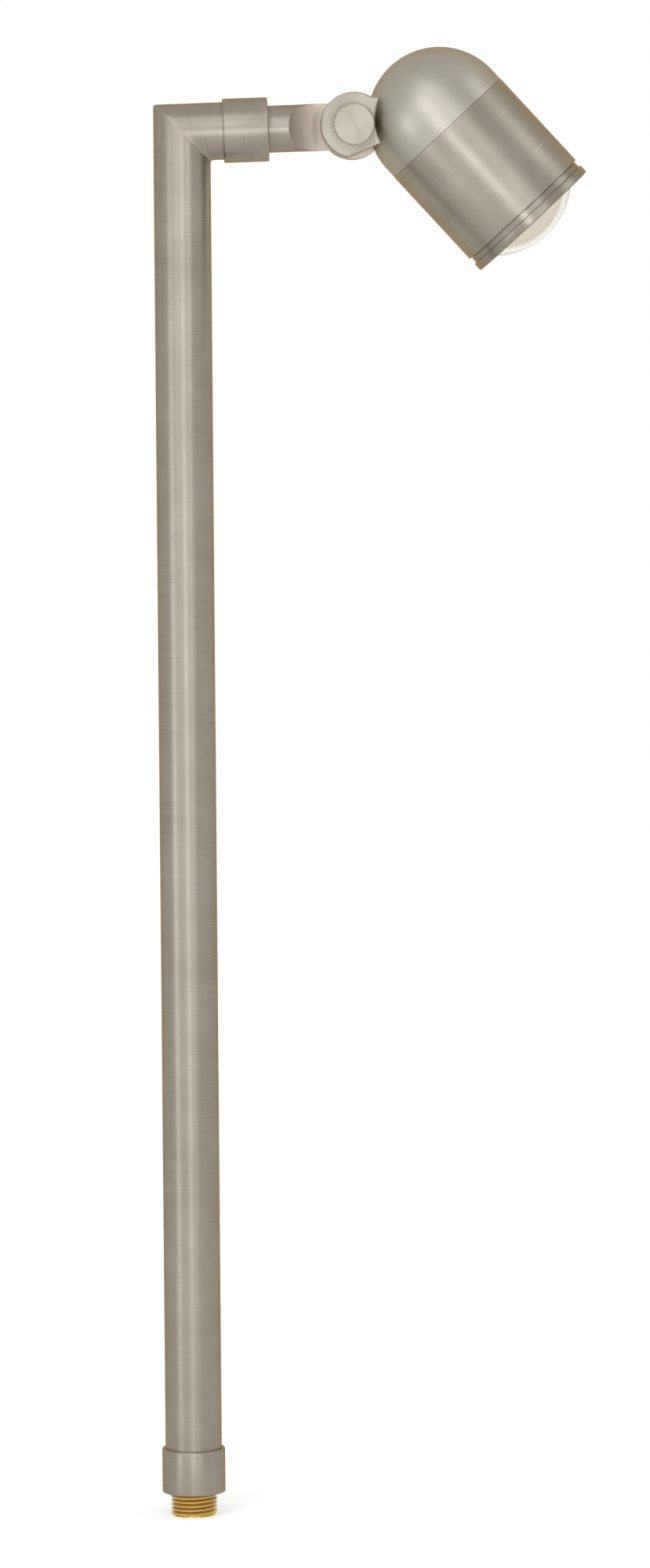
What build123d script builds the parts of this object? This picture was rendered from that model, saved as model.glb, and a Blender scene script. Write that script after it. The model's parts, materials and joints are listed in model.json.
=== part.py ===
from build123d import *
import os
from math import cos, radians, sin, sqrt

# Stem spotlight, in millimetres. +Z runs up the stem and +X along the arm. The origin is the centre of the
# base collar's bottom face, where the threaded nipple leaves it. The thumb screw is on the near side, -Y.

# Tubes and collars
TUBE_DIAMETER = 25.4
TUBE_WALL = 1.65
STEM_HEIGHT = 609.6
ARM_RISE = 1.8
COLLAR_WALL = 1.5
COLLAR_LENGTH = 20.0
COLLAR_SOCKET = 9.7
COLLAR_EDGE = 0.6
ARM_COLLAR_START = 18.3
SOCKET_CLEARANCE = 0.05

# Threaded nipple and its grommet
THREAD_DIAMETER = 20.8
THREAD_PITCH = 1.814
THREAD_DEPTH = 1.15
THREAD_CREST = 0.35
THREAD_LENGTH = 10.5
NIPPLE_WALL = 1.9
GROMMET_LENGTH = 6.0
GROMMET_RECESS = 1.2

# Knuckle
ROD_DIAMETER = 20.8
SWIVEL_CLEARANCE = 0.05
KNUCKLE_END_GAP = 0.3
PIVOT_AT = 76.0
LUG_RADIUS = 14.5
LUG_GAP = 0.8
LUG_EDGE = 0.4
LAP_AT = 2.0
LAP_GAP = 0.2
LUG_THICKNESS = 11.4
TONGUE_THICKNESS = 12.8
LUG_FLAT = 12.1
LUG_FLAT_ANGLE = 19.4
RAMP_LENGTH = 13.4
RAMP_HOLLOW = 0.5
CHAMBER_RADIUS = 8.5
CHAMBER_DEPTH = 5.0
LEAD_BORE = 5.6
LEAD_BORE_BACK = 3.0
LEAD_BORE_STOP = 5.4

# Thumb screw and its washer
KNOB_DIAMETER = 18.2
KNOB_HEIGHT = 5.0
KNOB_EDGE = 0.5
KNOB_GAP = 0.1
KNURL_TEETH = 50
KNURL_DEPTH = 0.35
KNURL_WIDTH = 0.9
SCREW_DIAMETER = 6.35
SCREW_CLEARANCE = 0.05
SCREW_END_RECESS = 1.0
HOLE_CLEARANCE = 0.3
WASHER_DIAMETER = 12.4
WASHER_THICKNESS = 1.0

# Head: the line from the pivot to the dome's centre, and the housings
HEAD_TILT = 49.2
PIVOT_ANGLE = 51.5
PIVOT_STANDOFF = 6.6
DOME_SKIRT = 5.3
SEAM_STEP = 0.15
SEAM_EDGE = 0.25
HOUSING_WALL = 3.0
SPIGOT_WALL = 3.0
SPIGOT_CLEARANCE = 0.05
REAR_SPIGOT = 9.0
REAR_WEB = 2.0
FRONT_LENGTH = 49.25
NECK_LENGTH = 3.05
NECK_DEPTH = 1.0
POCKET_WALL = 3.0

# Bezel and lens
BEZEL_SPIGOT = 8.0
BEZEL_THICKNESS = 3.9
BEZEL_LIP = 1.8
BEZEL_EDGE = 0.3
LENS_RADIUS = 22.7
LENS_HEIGHT = 8.7
LENS_WALL = 3.0
LENS_RIM = 3.3
LENS_RIM_THICKNESS = 3.0
LENS_CLEARANCE = 0.25
GASKET_THICKNESS = 1.0
RETAINER_THICKNESS = 2.0
RETAINER_NOTCH = 3.0

# Round seals
SEAL_SECTION = 1.5
SEAL_CLEARANCE = 0.05
SEAL_TURN_GAP = 0.2
GROOVE_WIDTH = 2.2
SEAL_INSET = 3.2

# Lamp
LAMP_RADIUS = 25.2
LAMP_CLEARANCE = 0.9
LAMP_FRONT_GAP = 0.5
LAMP_RIM = 2.5
LAMP_WALL = 1.3
LAMP_BOWL = 28.0
LAMP_NECK = 8.5
LAMP_BASE_LENGTH = 10.5
LAMP_BASE_WIDTH = 14.0
LAMP_BASE_HEIGHT = 9.5
CAPSULE_RADIUS = 4.4
CAPSULE_LENGTH = 19.0
COVER_THICKNESS = 1.5
PIN_SPACING = 5.3
PIN_DIAMETER = 1.6
PIN_LENGTH = 6.5
PIN_CLEARANCE = 0.1

# Lamp holder, bracket and screws
HOLDER_LENGTH = 12.0
HOLDER_WIDTH = 22.0
HOLDER_HEIGHT = 10.0
HOLDER_SCREW_SPACING = 15.6
BRACKET_THICKNESS = 1.2
BRACKET_WIDTH = 41.0
BRACKET_HEIGHT = 12.0
BRACKET_SCREW_SPACING = 32.0
BRACKET_SLOT_HEIGHT = 4.0
BOSS_RADIUS = 3.5
SMALL_SCREW_DIAMETER = 3.0
SMALL_SCREW_LENGTH = 6.0
SMALL_SCREW_HEAD = 5.4
SMALL_SCREW_HEAD_HEIGHT = 1.8

# Leads and the grommet where they leave the dome
LEAD_DIAMETER = 2.0
LEAD_SPACING = 2.3
LEAD_CLEARANCE = 0.05
LEAD_END_GAP = 0.3
LEAD_BEND = 4.5
PORT_DIAMETER = 5.4
PORT_DEPTH = 4.5
PLUG_LENGTH = 4.0
PLUG_PROUD = 1.0

# Sizes that follow
tube_radius = TUBE_DIAMETER / 2
collar_radius = tube_radius + COLLAR_WALL
collar_web = COLLAR_LENGTH - COLLAR_SOCKET
arm_tube_end = ARM_COLLAR_START + COLLAR_SOCKET
thread_radius = THREAD_DIAMETER / 2
thread_root = thread_radius - THREAD_DEPTH
nipple_shank = thread_radius - THREAD_DEPTH / 2
nipple_bore = thread_root - NIPPLE_WALL
rod_radius = ROD_DIAMETER / 2
screw_radius = SCREW_DIAMETER / 2
pocket_radius = LUG_RADIUS + LUG_GAP
tongue_face = LAP_AT - LAP_GAP
tongue_back = tongue_face - TONGUE_THICKNESS
lug_face = LAP_AT + LUG_THICKNESS
# The spigots are wide enough for the lamp, and for a wall between the lens and the bezel's seal groove
groove_depth = SEAL_SECTION + SEAL_CLEARANCE - SPIGOT_CLEARANCE
lens_rim_radius = LENS_RADIUS + LENS_RIM
lens_seat_radius = lens_rim_radius + LENS_CLEARANCE
spigot_bore = LAMP_RADIUS + LAMP_CLEARANCE
lens_spigot_radius = lens_seat_radius + SPIGOT_WALL / 4 + SEAL_TURN_GAP + groove_depth
spigot_radius = max(spigot_bore + SPIGOT_WALL, lens_spigot_radius)
housing_bore = spigot_radius + SPIGOT_CLEARANCE
head_radius = housing_bore + HOUSING_WALL
dome_radius = head_radius - SEAM_STEP
dome_bore = dome_radius - HOUSING_WALL
neck_radius = head_radius - NECK_DEPTH
bezel_back = FRONT_LENGTH + NECK_LENGTH
bezel_front = bezel_back + BEZEL_THICKNESS
lip_back = bezel_front - BEZEL_LIP
lens_rim_front = lip_back - GASKET_THICKNESS
lens_back = lens_rim_front - LENS_RIM_THICKNESS
lamp_front = FRONT_LENGTH - BEZEL_SPIGOT - LAMP_FRONT_GAP
bowl_back = lamp_front - LAMP_BOWL
base_back = bowl_back - LAMP_BASE_LENGTH
holder_back = base_back - HOLDER_LENGTH
bracket_back = holder_back - BRACKET_THICKNESS
lead_radius = LEAD_DIAMETER / 2

# Frames: each has x along its piece's axis, y across it and z towards the near side
NEAR = Vector(0, -1, 0)
corner = Vector(0, 0, STEM_HEIGHT)


def heading(angle):
    """The direction in the side view at this many degrees above the horizon."""
    return Vector(cos(radians(angle)), 0, sin(radians(angle)))


arm_direction = heading(ARM_RISE)
pivot = corner + arm_direction * PIVOT_AT
head_direction = heading(ARM_RISE - HEAD_TILT)
dome_direction = heading(ARM_RISE - HEAD_TILT + PIVOT_ANGLE)
pivot_reach = dome_radius + PIVOT_STANDOFF
dome_centre = pivot + dome_direction * pivot_reach
head_origin = dome_centre + head_direction * DOME_SKIRT

STEM = Plane(origin=(0, 0, 0), x_dir=(0, 0, 1), z_dir=NEAR)
ARM = Plane(origin=corner, x_dir=arm_direction, z_dir=NEAR)
HEAD = Plane(origin=head_origin, x_dir=head_direction, z_dir=NEAR)
PIVOT = Plane(origin=pivot, x_dir=arm_direction, z_dir=NEAR)
LUG = Plane(origin=pivot, x_dir=heading(ARM_RISE - HEAD_TILT - LUG_FLAT_ANGLE), z_dir=NEAR)
MITRE = Plane(origin=corner, x_dir=(0, 1, 0), z_dir=arm_direction + Vector(0, 0, 1))
STEM_AXIS = Axis((0, 0, 0), (0, 0, 1))
ARM_AXIS = Axis(corner, arm_direction)
HEAD_AXIS = Axis(head_origin, head_direction)


def arm_station(along):
    """The plane square to the arm at this distance from the corner, with x to the far side."""
    return Plane(origin=corner + arm_direction * along, x_dir=(0, 1, 0), z_dir=arm_direction)


def head_station(along):
    """The plane square to the head at this distance from its seam, with x to the far side."""
    return Plane(origin=head_origin + head_direction * along, x_dir=(0, 1, 0), z_dir=head_direction)


def finish(part, name):
    """Label a finished piece and write it."""
    part.label = name
    export_step(part, f"parts/{name}.step")


def turned(section, axis, outline):
    """A piece turned about its axis from an outline of points along and out from it."""
    with BuildPart() as piece:
        with BuildSketch(section):
            with BuildLine():
                Polyline(*outline, close=True)
            make_face()
        revolve(axis=axis)
    return piece.part


def round_seal(section, axis, along, inner_radius):
    """An O-ring of this inner radius."""
    with BuildPart() as seal:
        with BuildSketch(section):
            with Locations((along, inner_radius + SEAL_SECTION / 2)):
                Circle(SEAL_SECTION / 2)
        revolve(axis=axis)
    return seal.part


def collar_outline(start, step, bore_radius):
    """A collar from its bored end to its tube socket. step is 1 or -1 along the axis."""
    web_end = start + step * collar_web
    end = start + step * COLLAR_LENGTH
    socket_radius = tube_radius + SOCKET_CLEARANCE
    edge = step * COLLAR_EDGE
    return [
        (start, bore_radius),
        (start, collar_radius - COLLAR_EDGE),
        (start + edge, collar_radius),
        (end - edge, collar_radius),
        (end, collar_radius - COLLAR_EDGE),
        (end, socket_radius),
        (web_end, socket_radius),
        (web_end, bore_radius),
    ]


os.makedirs("parts", exist_ok=True)

# Stem and arm: two lengths of one tube that meet at the mitre
with BuildPart() as stem_tube:
    with BuildSketch(Plane.XY.offset(collar_web)):
        Circle(tube_radius)
        Circle(tube_radius - TUBE_WALL, mode=Mode.SUBTRACT)
    extrude(amount=STEM_HEIGHT + TUBE_DIAMETER - collar_web)
    split(bisect_by=MITRE, keep=Keep.BOTTOM)
finish(stem_tube.part, "stem_tube")

with BuildPart() as arm_tube:
    with BuildSketch(arm_station(-TUBE_DIAMETER)):
        Circle(tube_radius)
        Circle(tube_radius - TUBE_WALL, mode=Mode.SUBTRACT)
    extrude(amount=TUBE_DIAMETER + arm_tube_end)
    split(bisect_by=MITRE, keep=Keep.TOP)
finish(arm_tube.part, "arm_tube")

# Collars: each takes the tube in a socket and carries the nipple or the knuckle in its web
base_collar = turned(STEM, STEM_AXIS, collar_outline(0, 1, nipple_shank + SOCKET_CLEARANCE))
finish(base_collar, "base_collar")

arm_collar_end = ARM_COLLAR_START + COLLAR_LENGTH
arm_collar = turned(ARM, ARM_AXIS, collar_outline(arm_collar_end, -1, rod_radius + SWIVEL_CLEARANCE))
finish(arm_collar, "arm_collar")

# Nipple: its shank is fixed in the base collar and its thread hangs below, cut as rings of the thread's form
thread_turns = int(THREAD_LENGTH / THREAD_PITCH)
thread_flank = (THREAD_PITCH - 2 * THREAD_CREST) / 2
nipple_outline = [(collar_web, nipple_bore), (collar_web, nipple_shank), (0, nipple_shank)]
for turn in range(thread_turns):
    crest = -turn * THREAD_PITCH
    nipple_outline.append((crest, thread_radius))
    nipple_outline.append((crest - THREAD_CREST, thread_radius))
    nipple_outline.append((crest - THREAD_CREST - thread_flank, thread_root))
    nipple_outline.append((crest - 2 * THREAD_CREST - thread_flank, thread_root))
last_crest = -thread_turns * THREAD_PITCH
nipple_outline.append((last_crest, thread_radius))
nipple_outline.append(((last_crest - THREAD_LENGTH) / 2, thread_radius))
nipple_outline.append((-THREAD_LENGTH, thread_radius - (THREAD_LENGTH + last_crest) / 2))
nipple_outline.append((-THREAD_LENGTH, nipple_bore))
thread_nipple = turned(STEM, STEM_AXIS, nipple_outline)
finish(thread_nipple, "thread_nipple")

# Knuckle: a rod that turns in the arm collar, with a ramp down to a disc that the head's lug lies on
knuckle_start = arm_tube_end + KNUCKLE_END_GAP
swivel_seal_at = arm_collar_end - SEAL_INSET
ramp_end = PIVOT_AT - pocket_radius
ramp_start = ramp_end - RAMP_LENGTH
near_limit = rod_radius + LUG_THICKNESS
with BuildPart() as tongue_block:
    with BuildSketch(PIVOT.offset(tongue_back)):
        Circle(LUG_RADIUS)
    extrude(amount=TONGUE_THICKNESS)
    chamfer(tongue_block.faces().sort_by(Axis.Y)[-1].edges(), LUG_EDGE)

with BuildPart() as knuckle:
    with BuildSketch(arm_station(knuckle_start)):
        Circle(rod_radius)
    extrude(amount=PIVOT_AT - knuckle_start)
    add(tongue_block.part)
    # Ramp, drawn from above: along the arm, and out to the near side
    with BuildSketch(Plane(origin=corner, x_dir=arm_direction, z_dir=ARM.y_dir)):
        with BuildLine():
            Line((ramp_end, -tongue_face), (PIVOT_AT + pocket_radius, -tongue_face))
            Line((PIVOT_AT + pocket_radius, -tongue_face), (PIVOT_AT + pocket_radius, -near_limit))
            Line((PIVOT_AT + pocket_radius, -near_limit), (ramp_start, -near_limit))
            Line((ramp_start, -near_limit), (ramp_start, -rod_radius))
            ThreePointArc(
                (ramp_start, -rod_radius),
                ((ramp_start + ramp_end) / 2 - RAMP_HOLLOW, RAMP_HOLLOW - (rod_radius + tongue_face) / 2),
                (ramp_end, -tongue_face),
            )
        make_face()
    extrude(amount=LUG_RADIUS, both=True, mode=Mode.SUBTRACT)
    # Bore for the leads, wire chamber, screw thread and the two seal grooves
    with BuildSketch(arm_station(knuckle_start)):
        with Locations((LEAD_BORE_BACK, 0)):
            Circle(LEAD_BORE / 2)
    extrude(amount=PIVOT_AT - LEAD_BORE_STOP - knuckle_start, mode=Mode.SUBTRACT)
    with BuildSketch(PIVOT.offset(tongue_face - CHAMBER_DEPTH)):
        Circle(CHAMBER_RADIUS)
    extrude(amount=CHAMBER_DEPTH, mode=Mode.SUBTRACT)
    with BuildSketch(PIVOT.offset(tongue_back)):
        Circle(screw_radius + SCREW_CLEARANCE)
    extrude(amount=TONGUE_THICKNESS, mode=Mode.SUBTRACT)
    with BuildSketch(PIVOT.offset(tongue_face - SEAL_SECTION)):
        Circle(CHAMBER_RADIUS + SEAL_SECTION / 2 + GROOVE_WIDTH)
        Circle(CHAMBER_RADIUS + SEAL_SECTION / 2, mode=Mode.SUBTRACT)
    extrude(amount=SEAL_SECTION, mode=Mode.SUBTRACT)
    with BuildSketch(arm_station(swivel_seal_at - GROOVE_WIDTH / 2)):
        Circle(rod_radius + SWIVEL_CLEARANCE)
        Circle(rod_radius - SEAL_SECTION, mode=Mode.SUBTRACT)
    extrude(amount=GROOVE_WIDTH, mode=Mode.SUBTRACT)
finish(knuckle.part, "knuckle")

swivel_o_ring = round_seal(ARM, ARM_AXIS, swivel_seal_at, rod_radius - SEAL_SECTION)
finish(swivel_o_ring, "swivel_o_ring")

pivot_seal_radius = CHAMBER_RADIUS + SEAL_SECTION / 2 + GROOVE_WIDTH / 2
with BuildPart() as pivot_o_ring:
    with BuildSketch(Plane(origin=pivot, x_dir=arm_direction, z_dir=ARM.y_dir)):
        with Locations((pivot_seal_radius, SEAL_SECTION / 2 - tongue_face)):
            Circle(SEAL_SECTION / 2)
    revolve(axis=Axis(pivot, NEAR))
finish(pivot_o_ring.part, "pivot_o_ring")

# Thumb screw and the washer that sits in the lug under its head
with BuildPart() as pivot_washer:
    with BuildSketch(PIVOT.offset(lug_face - WASHER_THICKNESS)):
        Circle(WASHER_DIAMETER / 2)
        Circle(screw_radius + HOLE_CLEARANCE, mode=Mode.SUBTRACT)
    extrude(amount=WASHER_THICKNESS)
finish(pivot_washer.part, "pivot_washer")

knob_radius = KNOB_DIAMETER / 2
knob_back = lug_face + KNOB_GAP
with BuildPart() as thumb_screw:
    with BuildSketch(PIVOT.offset(knob_back)):
        Circle(knob_radius)
    extrude(amount=KNOB_HEIGHT)
    chamfer(thumb_screw.edges(), KNOB_EDGE)
    with BuildSketch(PIVOT.offset(knob_back)):
        with PolarLocations(knob_radius, KNURL_TEETH):
            Polygon(
                (-KNURL_DEPTH, 0),
                (KNURL_DEPTH, -KNURL_WIDTH),
                (KNURL_DEPTH, KNURL_WIDTH),
                align=None,
            )
    extrude(amount=KNOB_HEIGHT, mode=Mode.SUBTRACT)
    with BuildSketch(PIVOT.offset(tongue_back + SCREW_END_RECESS)):
        Circle(screw_radius)
    extrude(amount=knob_back - tongue_back - SCREW_END_RECESS)
finish(thumb_screw.part, "thumb_screw")

# Rear housing: a dome with a spigot for the front housing and a lug for the knuckle
apex = -DOME_SKIRT - dome_radius
inner_apex = -DOME_SKIRT - dome_bore
rear_seal_at = SEAL_INSET
groove_floor = spigot_radius - groove_depth
with BuildPart() as dome_blank:
    with BuildSketch(HEAD):
        with BuildLine():
            ThreePointArc(
                (apex, 0),
                (-DOME_SKIRT - dome_radius / sqrt(2), dome_radius / sqrt(2)),
                (-DOME_SKIRT, dome_radius),
            )
            Polyline(
                (-DOME_SKIRT, dome_radius),
                (-SEAM_EDGE, dome_radius),
                (0, dome_radius - SEAM_EDGE),
                (0, spigot_radius),
                (rear_seal_at - GROOVE_WIDTH / 2, spigot_radius),
                (rear_seal_at - GROOVE_WIDTH / 2, groove_floor),
                (rear_seal_at + GROOVE_WIDTH / 2, groove_floor),
                (rear_seal_at + GROOVE_WIDTH / 2, spigot_radius),
                (REAR_SPIGOT, spigot_radius),
                (REAR_SPIGOT, 0),
                (apex, 0),
            )
        make_face()
    revolve(axis=HEAD_AXIS)

with BuildPart() as pocket_block:
    with BuildSketch(PIVOT.offset(-head_radius)):
        Circle(pocket_radius + POCKET_WALL)
    extrude(amount=2 * head_radius)
    add(dome_blank.part, mode=Mode.INTERSECT)

boss_spread = BRACKET_SCREW_SPACING / 2
screw_reach = SMALL_SCREW_LENGTH - BRACKET_THICKNESS
with BuildPart() as boss_block:
    with BuildSketch(head_station(apex)):
        with Locations((boss_spread, 0), (-boss_spread, 0)):
            Circle(BOSS_RADIUS)
    extrude(amount=bracket_back - apex)
    add(dome_blank.part, mode=Mode.INTERSECT)

# Lug: a disc with a flat on the side towards the lens
with BuildPart() as lug_block:
    with BuildSketch(LUG.offset(LAP_AT)):
        Circle(LUG_RADIUS)
        with Locations((LUG_FLAT, 0)):
            Rectangle(LUG_RADIUS, 2 * LUG_RADIUS, align=(Align.MIN, Align.CENTER), mode=Mode.SUBTRACT)
    extrude(amount=LUG_THICKNESS)
    chamfer(lug_block.faces().sort_by(Axis.Y)[0].edges(), LUG_EDGE)

with BuildPart() as rear_housing:
    add(dome_blank.part)
    with BuildSketch(HEAD):
        with BuildLine():
            ThreePointArc(
                (inner_apex, 0),
                (-DOME_SKIRT - dome_bore / sqrt(2), dome_bore / sqrt(2)),
                (-DOME_SKIRT, dome_bore),
            )
            Polyline(
                (-DOME_SKIRT, dome_bore),
                (-REAR_WEB, dome_bore),
                (-REAR_WEB, spigot_bore),
                (REAR_SPIGOT, spigot_bore),
                (REAR_SPIGOT, 0),
                (inner_apex, 0),
            )
        make_face()
    revolve(axis=HEAD_AXIS, mode=Mode.SUBTRACT)
    add(pocket_block.part)
    add(boss_block.part)
    add(lug_block.part)
    # Pocket behind the lug, where the knuckle's disc turns
    with BuildSketch(PIVOT.offset(LAP_AT)):
        Circle(pocket_radius)
    extrude(amount=-2 * head_radius, mode=Mode.SUBTRACT)
    # Screw hole, washer seat, wire chamber and the port for the leads
    with BuildSketch(PIVOT.offset(LAP_AT)):
        Circle(screw_radius + HOLE_CLEARANCE)
    extrude(amount=LUG_THICKNESS, mode=Mode.SUBTRACT)
    with BuildSketch(PIVOT.offset(lug_face - WASHER_THICKNESS)):
        Circle(WASHER_DIAMETER / 2 + HOLE_CLEARANCE)
    extrude(amount=WASHER_THICKNESS, mode=Mode.SUBTRACT)
    with BuildSketch(PIVOT.offset(LAP_AT)):
        Circle(CHAMBER_RADIUS)
    extrude(amount=CHAMBER_DEPTH, mode=Mode.SUBTRACT)
    with BuildSketch(Plane(origin=pivot + NEAR * (LAP_AT + PORT_DEPTH), x_dir=(0, 1, 0), z_dir=dome_direction)):
        Circle(PORT_DIAMETER / 2)
    extrude(amount=pivot_reach, mode=Mode.SUBTRACT)
    with BuildSketch(head_station(bracket_back - screw_reach)):
        with Locations((boss_spread, 0), (-boss_spread, 0)):
            Circle(SMALL_SCREW_DIAMETER / 2)
    extrude(amount=screw_reach, mode=Mode.SUBTRACT)
finish(rear_housing.part, "rear_housing")

housing_o_ring = round_seal(HEAD, HEAD_AXIS, rear_seal_at, groove_floor)
finish(housing_o_ring, "housing_o_ring")

# Front housing
front_housing = turned(
    HEAD,
    HEAD_AXIS,
    [
        (0, housing_bore),
        (0, head_radius - SEAM_EDGE),
        (SEAM_EDGE, head_radius),
        (FRONT_LENGTH - SEAM_EDGE, head_radius),
        (FRONT_LENGTH, head_radius - SEAM_EDGE),
        (FRONT_LENGTH, housing_bore),
    ],
)
finish(front_housing, "front_housing")

# Bezel: a spigot inside the front housing, a neck, and a flange with a lip over the lens. It turns inside its
# seal, so its groove is a little deeper than the seal.
bezel_seal_at = FRONT_LENGTH - SEAL_INSET
bezel_groove_floor = groove_floor - SEAL_TURN_GAP
spigot_end = FRONT_LENGTH - BEZEL_SPIGOT
lip_radius = LENS_RADIUS + LENS_CLEARANCE
lens_bezel = turned(
    HEAD,
    HEAD_AXIS,
    [
        (spigot_end, lens_seat_radius),
        (spigot_end, spigot_radius),
        (bezel_seal_at - GROOVE_WIDTH / 2, spigot_radius),
        (bezel_seal_at - GROOVE_WIDTH / 2, bezel_groove_floor),
        (bezel_seal_at + GROOVE_WIDTH / 2, bezel_groove_floor),
        (bezel_seal_at + GROOVE_WIDTH / 2, spigot_radius),
        (FRONT_LENGTH, spigot_radius),
        (FRONT_LENGTH, neck_radius),
        (bezel_back, neck_radius),
        (bezel_back, head_radius - BEZEL_EDGE),
        (bezel_back + BEZEL_EDGE, head_radius),
        (bezel_front - BEZEL_EDGE, head_radius),
        (bezel_front, head_radius - BEZEL_EDGE),
        (bezel_front, lip_radius),
        (lip_back, lip_radius),
        (lip_back, lens_seat_radius),
    ],
)
finish(lens_bezel, "lens_bezel")

bezel_o_ring = round_seal(HEAD, HEAD_AXIS, bezel_seal_at, groove_floor)
finish(bezel_o_ring, "bezel_o_ring")

# Lens: a hollow glass cap with a rim, held against its gasket by a ring with two notches for a spanner
lens_apex = bezel_front + LENS_HEIGHT
lens_bore = LENS_RADIUS - LENS_WALL


def cap_middle(radius, height):
    """How far a round cap of this radius and height has dropped from its apex, halfway out to its rim."""
    curve = (radius**2 + height**2) / (2 * height)
    return curve - sqrt(curve**2 - (radius / 2) ** 2)


with BuildPart() as glass_lens:
    with BuildSketch(HEAD):
        with BuildLine():
            ThreePointArc(
                (lens_apex - LENS_WALL, 0),
                (lens_apex - LENS_WALL - cap_middle(lens_bore, LENS_HEIGHT), lens_bore / 2),
                (bezel_front - LENS_WALL, lens_bore),
            )
            Polyline(
                (bezel_front - LENS_WALL, lens_bore),
                (lens_back, lens_bore),
                (lens_back, lens_rim_radius),
                (lens_rim_front, lens_rim_radius),
                (lens_rim_front, LENS_RADIUS),
                (bezel_front, LENS_RADIUS),
            )
            ThreePointArc(
                (bezel_front, LENS_RADIUS),
                (lens_apex - cap_middle(LENS_RADIUS, LENS_HEIGHT), LENS_RADIUS / 2),
                (lens_apex, 0),
            )
            Line((lens_apex, 0), (lens_apex - LENS_WALL, 0))
        make_face()
    revolve(axis=HEAD_AXIS)
finish(glass_lens.part, "glass_lens")

lens_gasket = turned(
    HEAD,
    HEAD_AXIS,
    [
        (lens_rim_front, lip_radius),
        (lens_rim_front, lens_rim_radius),
        (lip_back, lens_rim_radius),
        (lip_back, lip_radius),
    ],
)
finish(lens_gasket, "lens_gasket")

with BuildPart() as lens_retainer:
    with BuildSketch(head_station(lens_back - RETAINER_THICKNESS)):
        Circle(lens_rim_radius)
        Circle(LENS_RADIUS, mode=Mode.SUBTRACT)
        with Locations((0, LENS_RADIUS), (0, -LENS_RADIUS)):
            Rectangle(RETAINER_NOTCH, RETAINER_NOTCH, mode=Mode.SUBTRACT)
    extrude(amount=RETAINER_THICKNESS)
finish(lens_retainer.part, "lens_retainer")

# Lamp: a reflector bowl on a ceramic base, with its capsule, cover glass and pins
rim_back = lamp_front - LAMP_RIM
bowl_radius = LAMP_RADIUS - LAMP_WALL
bowl_middle = (bowl_back + rim_back) / 2 - LAMP_NECK / 2
bowl_middle_radius = (LAMP_NECK + bowl_radius) / 2 + LAMP_NECK / 4
cover_seat = bowl_radius - LAMP_WALL
cover_back = lamp_front - COVER_THICKNESS
with BuildPart() as lamp_reflector:
    with BuildSketch(HEAD):
        with BuildLine():
            ThreePointArc(
                (bowl_back, LAMP_NECK), (bowl_middle, bowl_middle_radius), (rim_back, bowl_radius)
            )
            Polyline(
                (rim_back, bowl_radius),
                (rim_back, LAMP_RADIUS),
                (lamp_front, LAMP_RADIUS),
                (lamp_front, bowl_radius),
                (cover_back, bowl_radius),
                (cover_back, cover_seat),
            )
            ThreePointArc(
                (cover_back, cover_seat),
                (bowl_middle + LAMP_WALL, bowl_middle_radius - LAMP_WALL),
                (bowl_back + LAMP_WALL, LAMP_NECK - LAMP_WALL),
            )
            Polyline(
                (bowl_back + LAMP_WALL, LAMP_NECK - LAMP_WALL),
                (bowl_back, LAMP_NECK - LAMP_WALL),
                (bowl_back, LAMP_NECK),
            )
        make_face()
    revolve(axis=HEAD_AXIS)
finish(lamp_reflector.part, "lamp_reflector")

with BuildPart() as lamp_cover_glass:
    with BuildSketch(head_station(cover_back)):
        Circle(bowl_radius - LEAD_CLEARANCE)
    extrude(amount=COVER_THICKNESS)
finish(lamp_cover_glass.part, "lamp_cover_glass")

capsule_dome = bowl_back + CAPSULE_LENGTH - CAPSULE_RADIUS
with BuildPart() as lamp_capsule:
    with BuildSketch(HEAD):
        with BuildLine():
            Polyline(
                (bowl_back + CAPSULE_LENGTH, 0),
                (bowl_back, 0),
                (bowl_back, CAPSULE_RADIUS),
                (capsule_dome, CAPSULE_RADIUS),
            )
            ThreePointArc(
                (capsule_dome, CAPSULE_RADIUS),
                (capsule_dome + CAPSULE_RADIUS / sqrt(2), CAPSULE_RADIUS / sqrt(2)),
                (bowl_back + CAPSULE_LENGTH, 0),
            )
        make_face()
    revolve(axis=HEAD_AXIS)
finish(lamp_capsule.part, "lamp_capsule")

with BuildPart() as lamp_base:
    with BuildSketch(head_station(base_back)):
        RectangleRounded(LAMP_BASE_WIDTH, LAMP_BASE_HEIGHT, LAMP_BASE_HEIGHT / 4)
    extrude(amount=LAMP_BASE_LENGTH)
finish(lamp_base.part, "lamp_base")

pin_spots = [(PIN_SPACING / 2, 0), (-PIN_SPACING / 2, 0)]
with BuildPart() as lamp_pins:
    with BuildSketch(head_station(base_back - PIN_LENGTH)):
        with Locations(*pin_spots):
            Circle(PIN_DIAMETER / 2)
    extrude(amount=PIN_LENGTH)
finish(lamp_pins.part, "lamp_pins")

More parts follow.
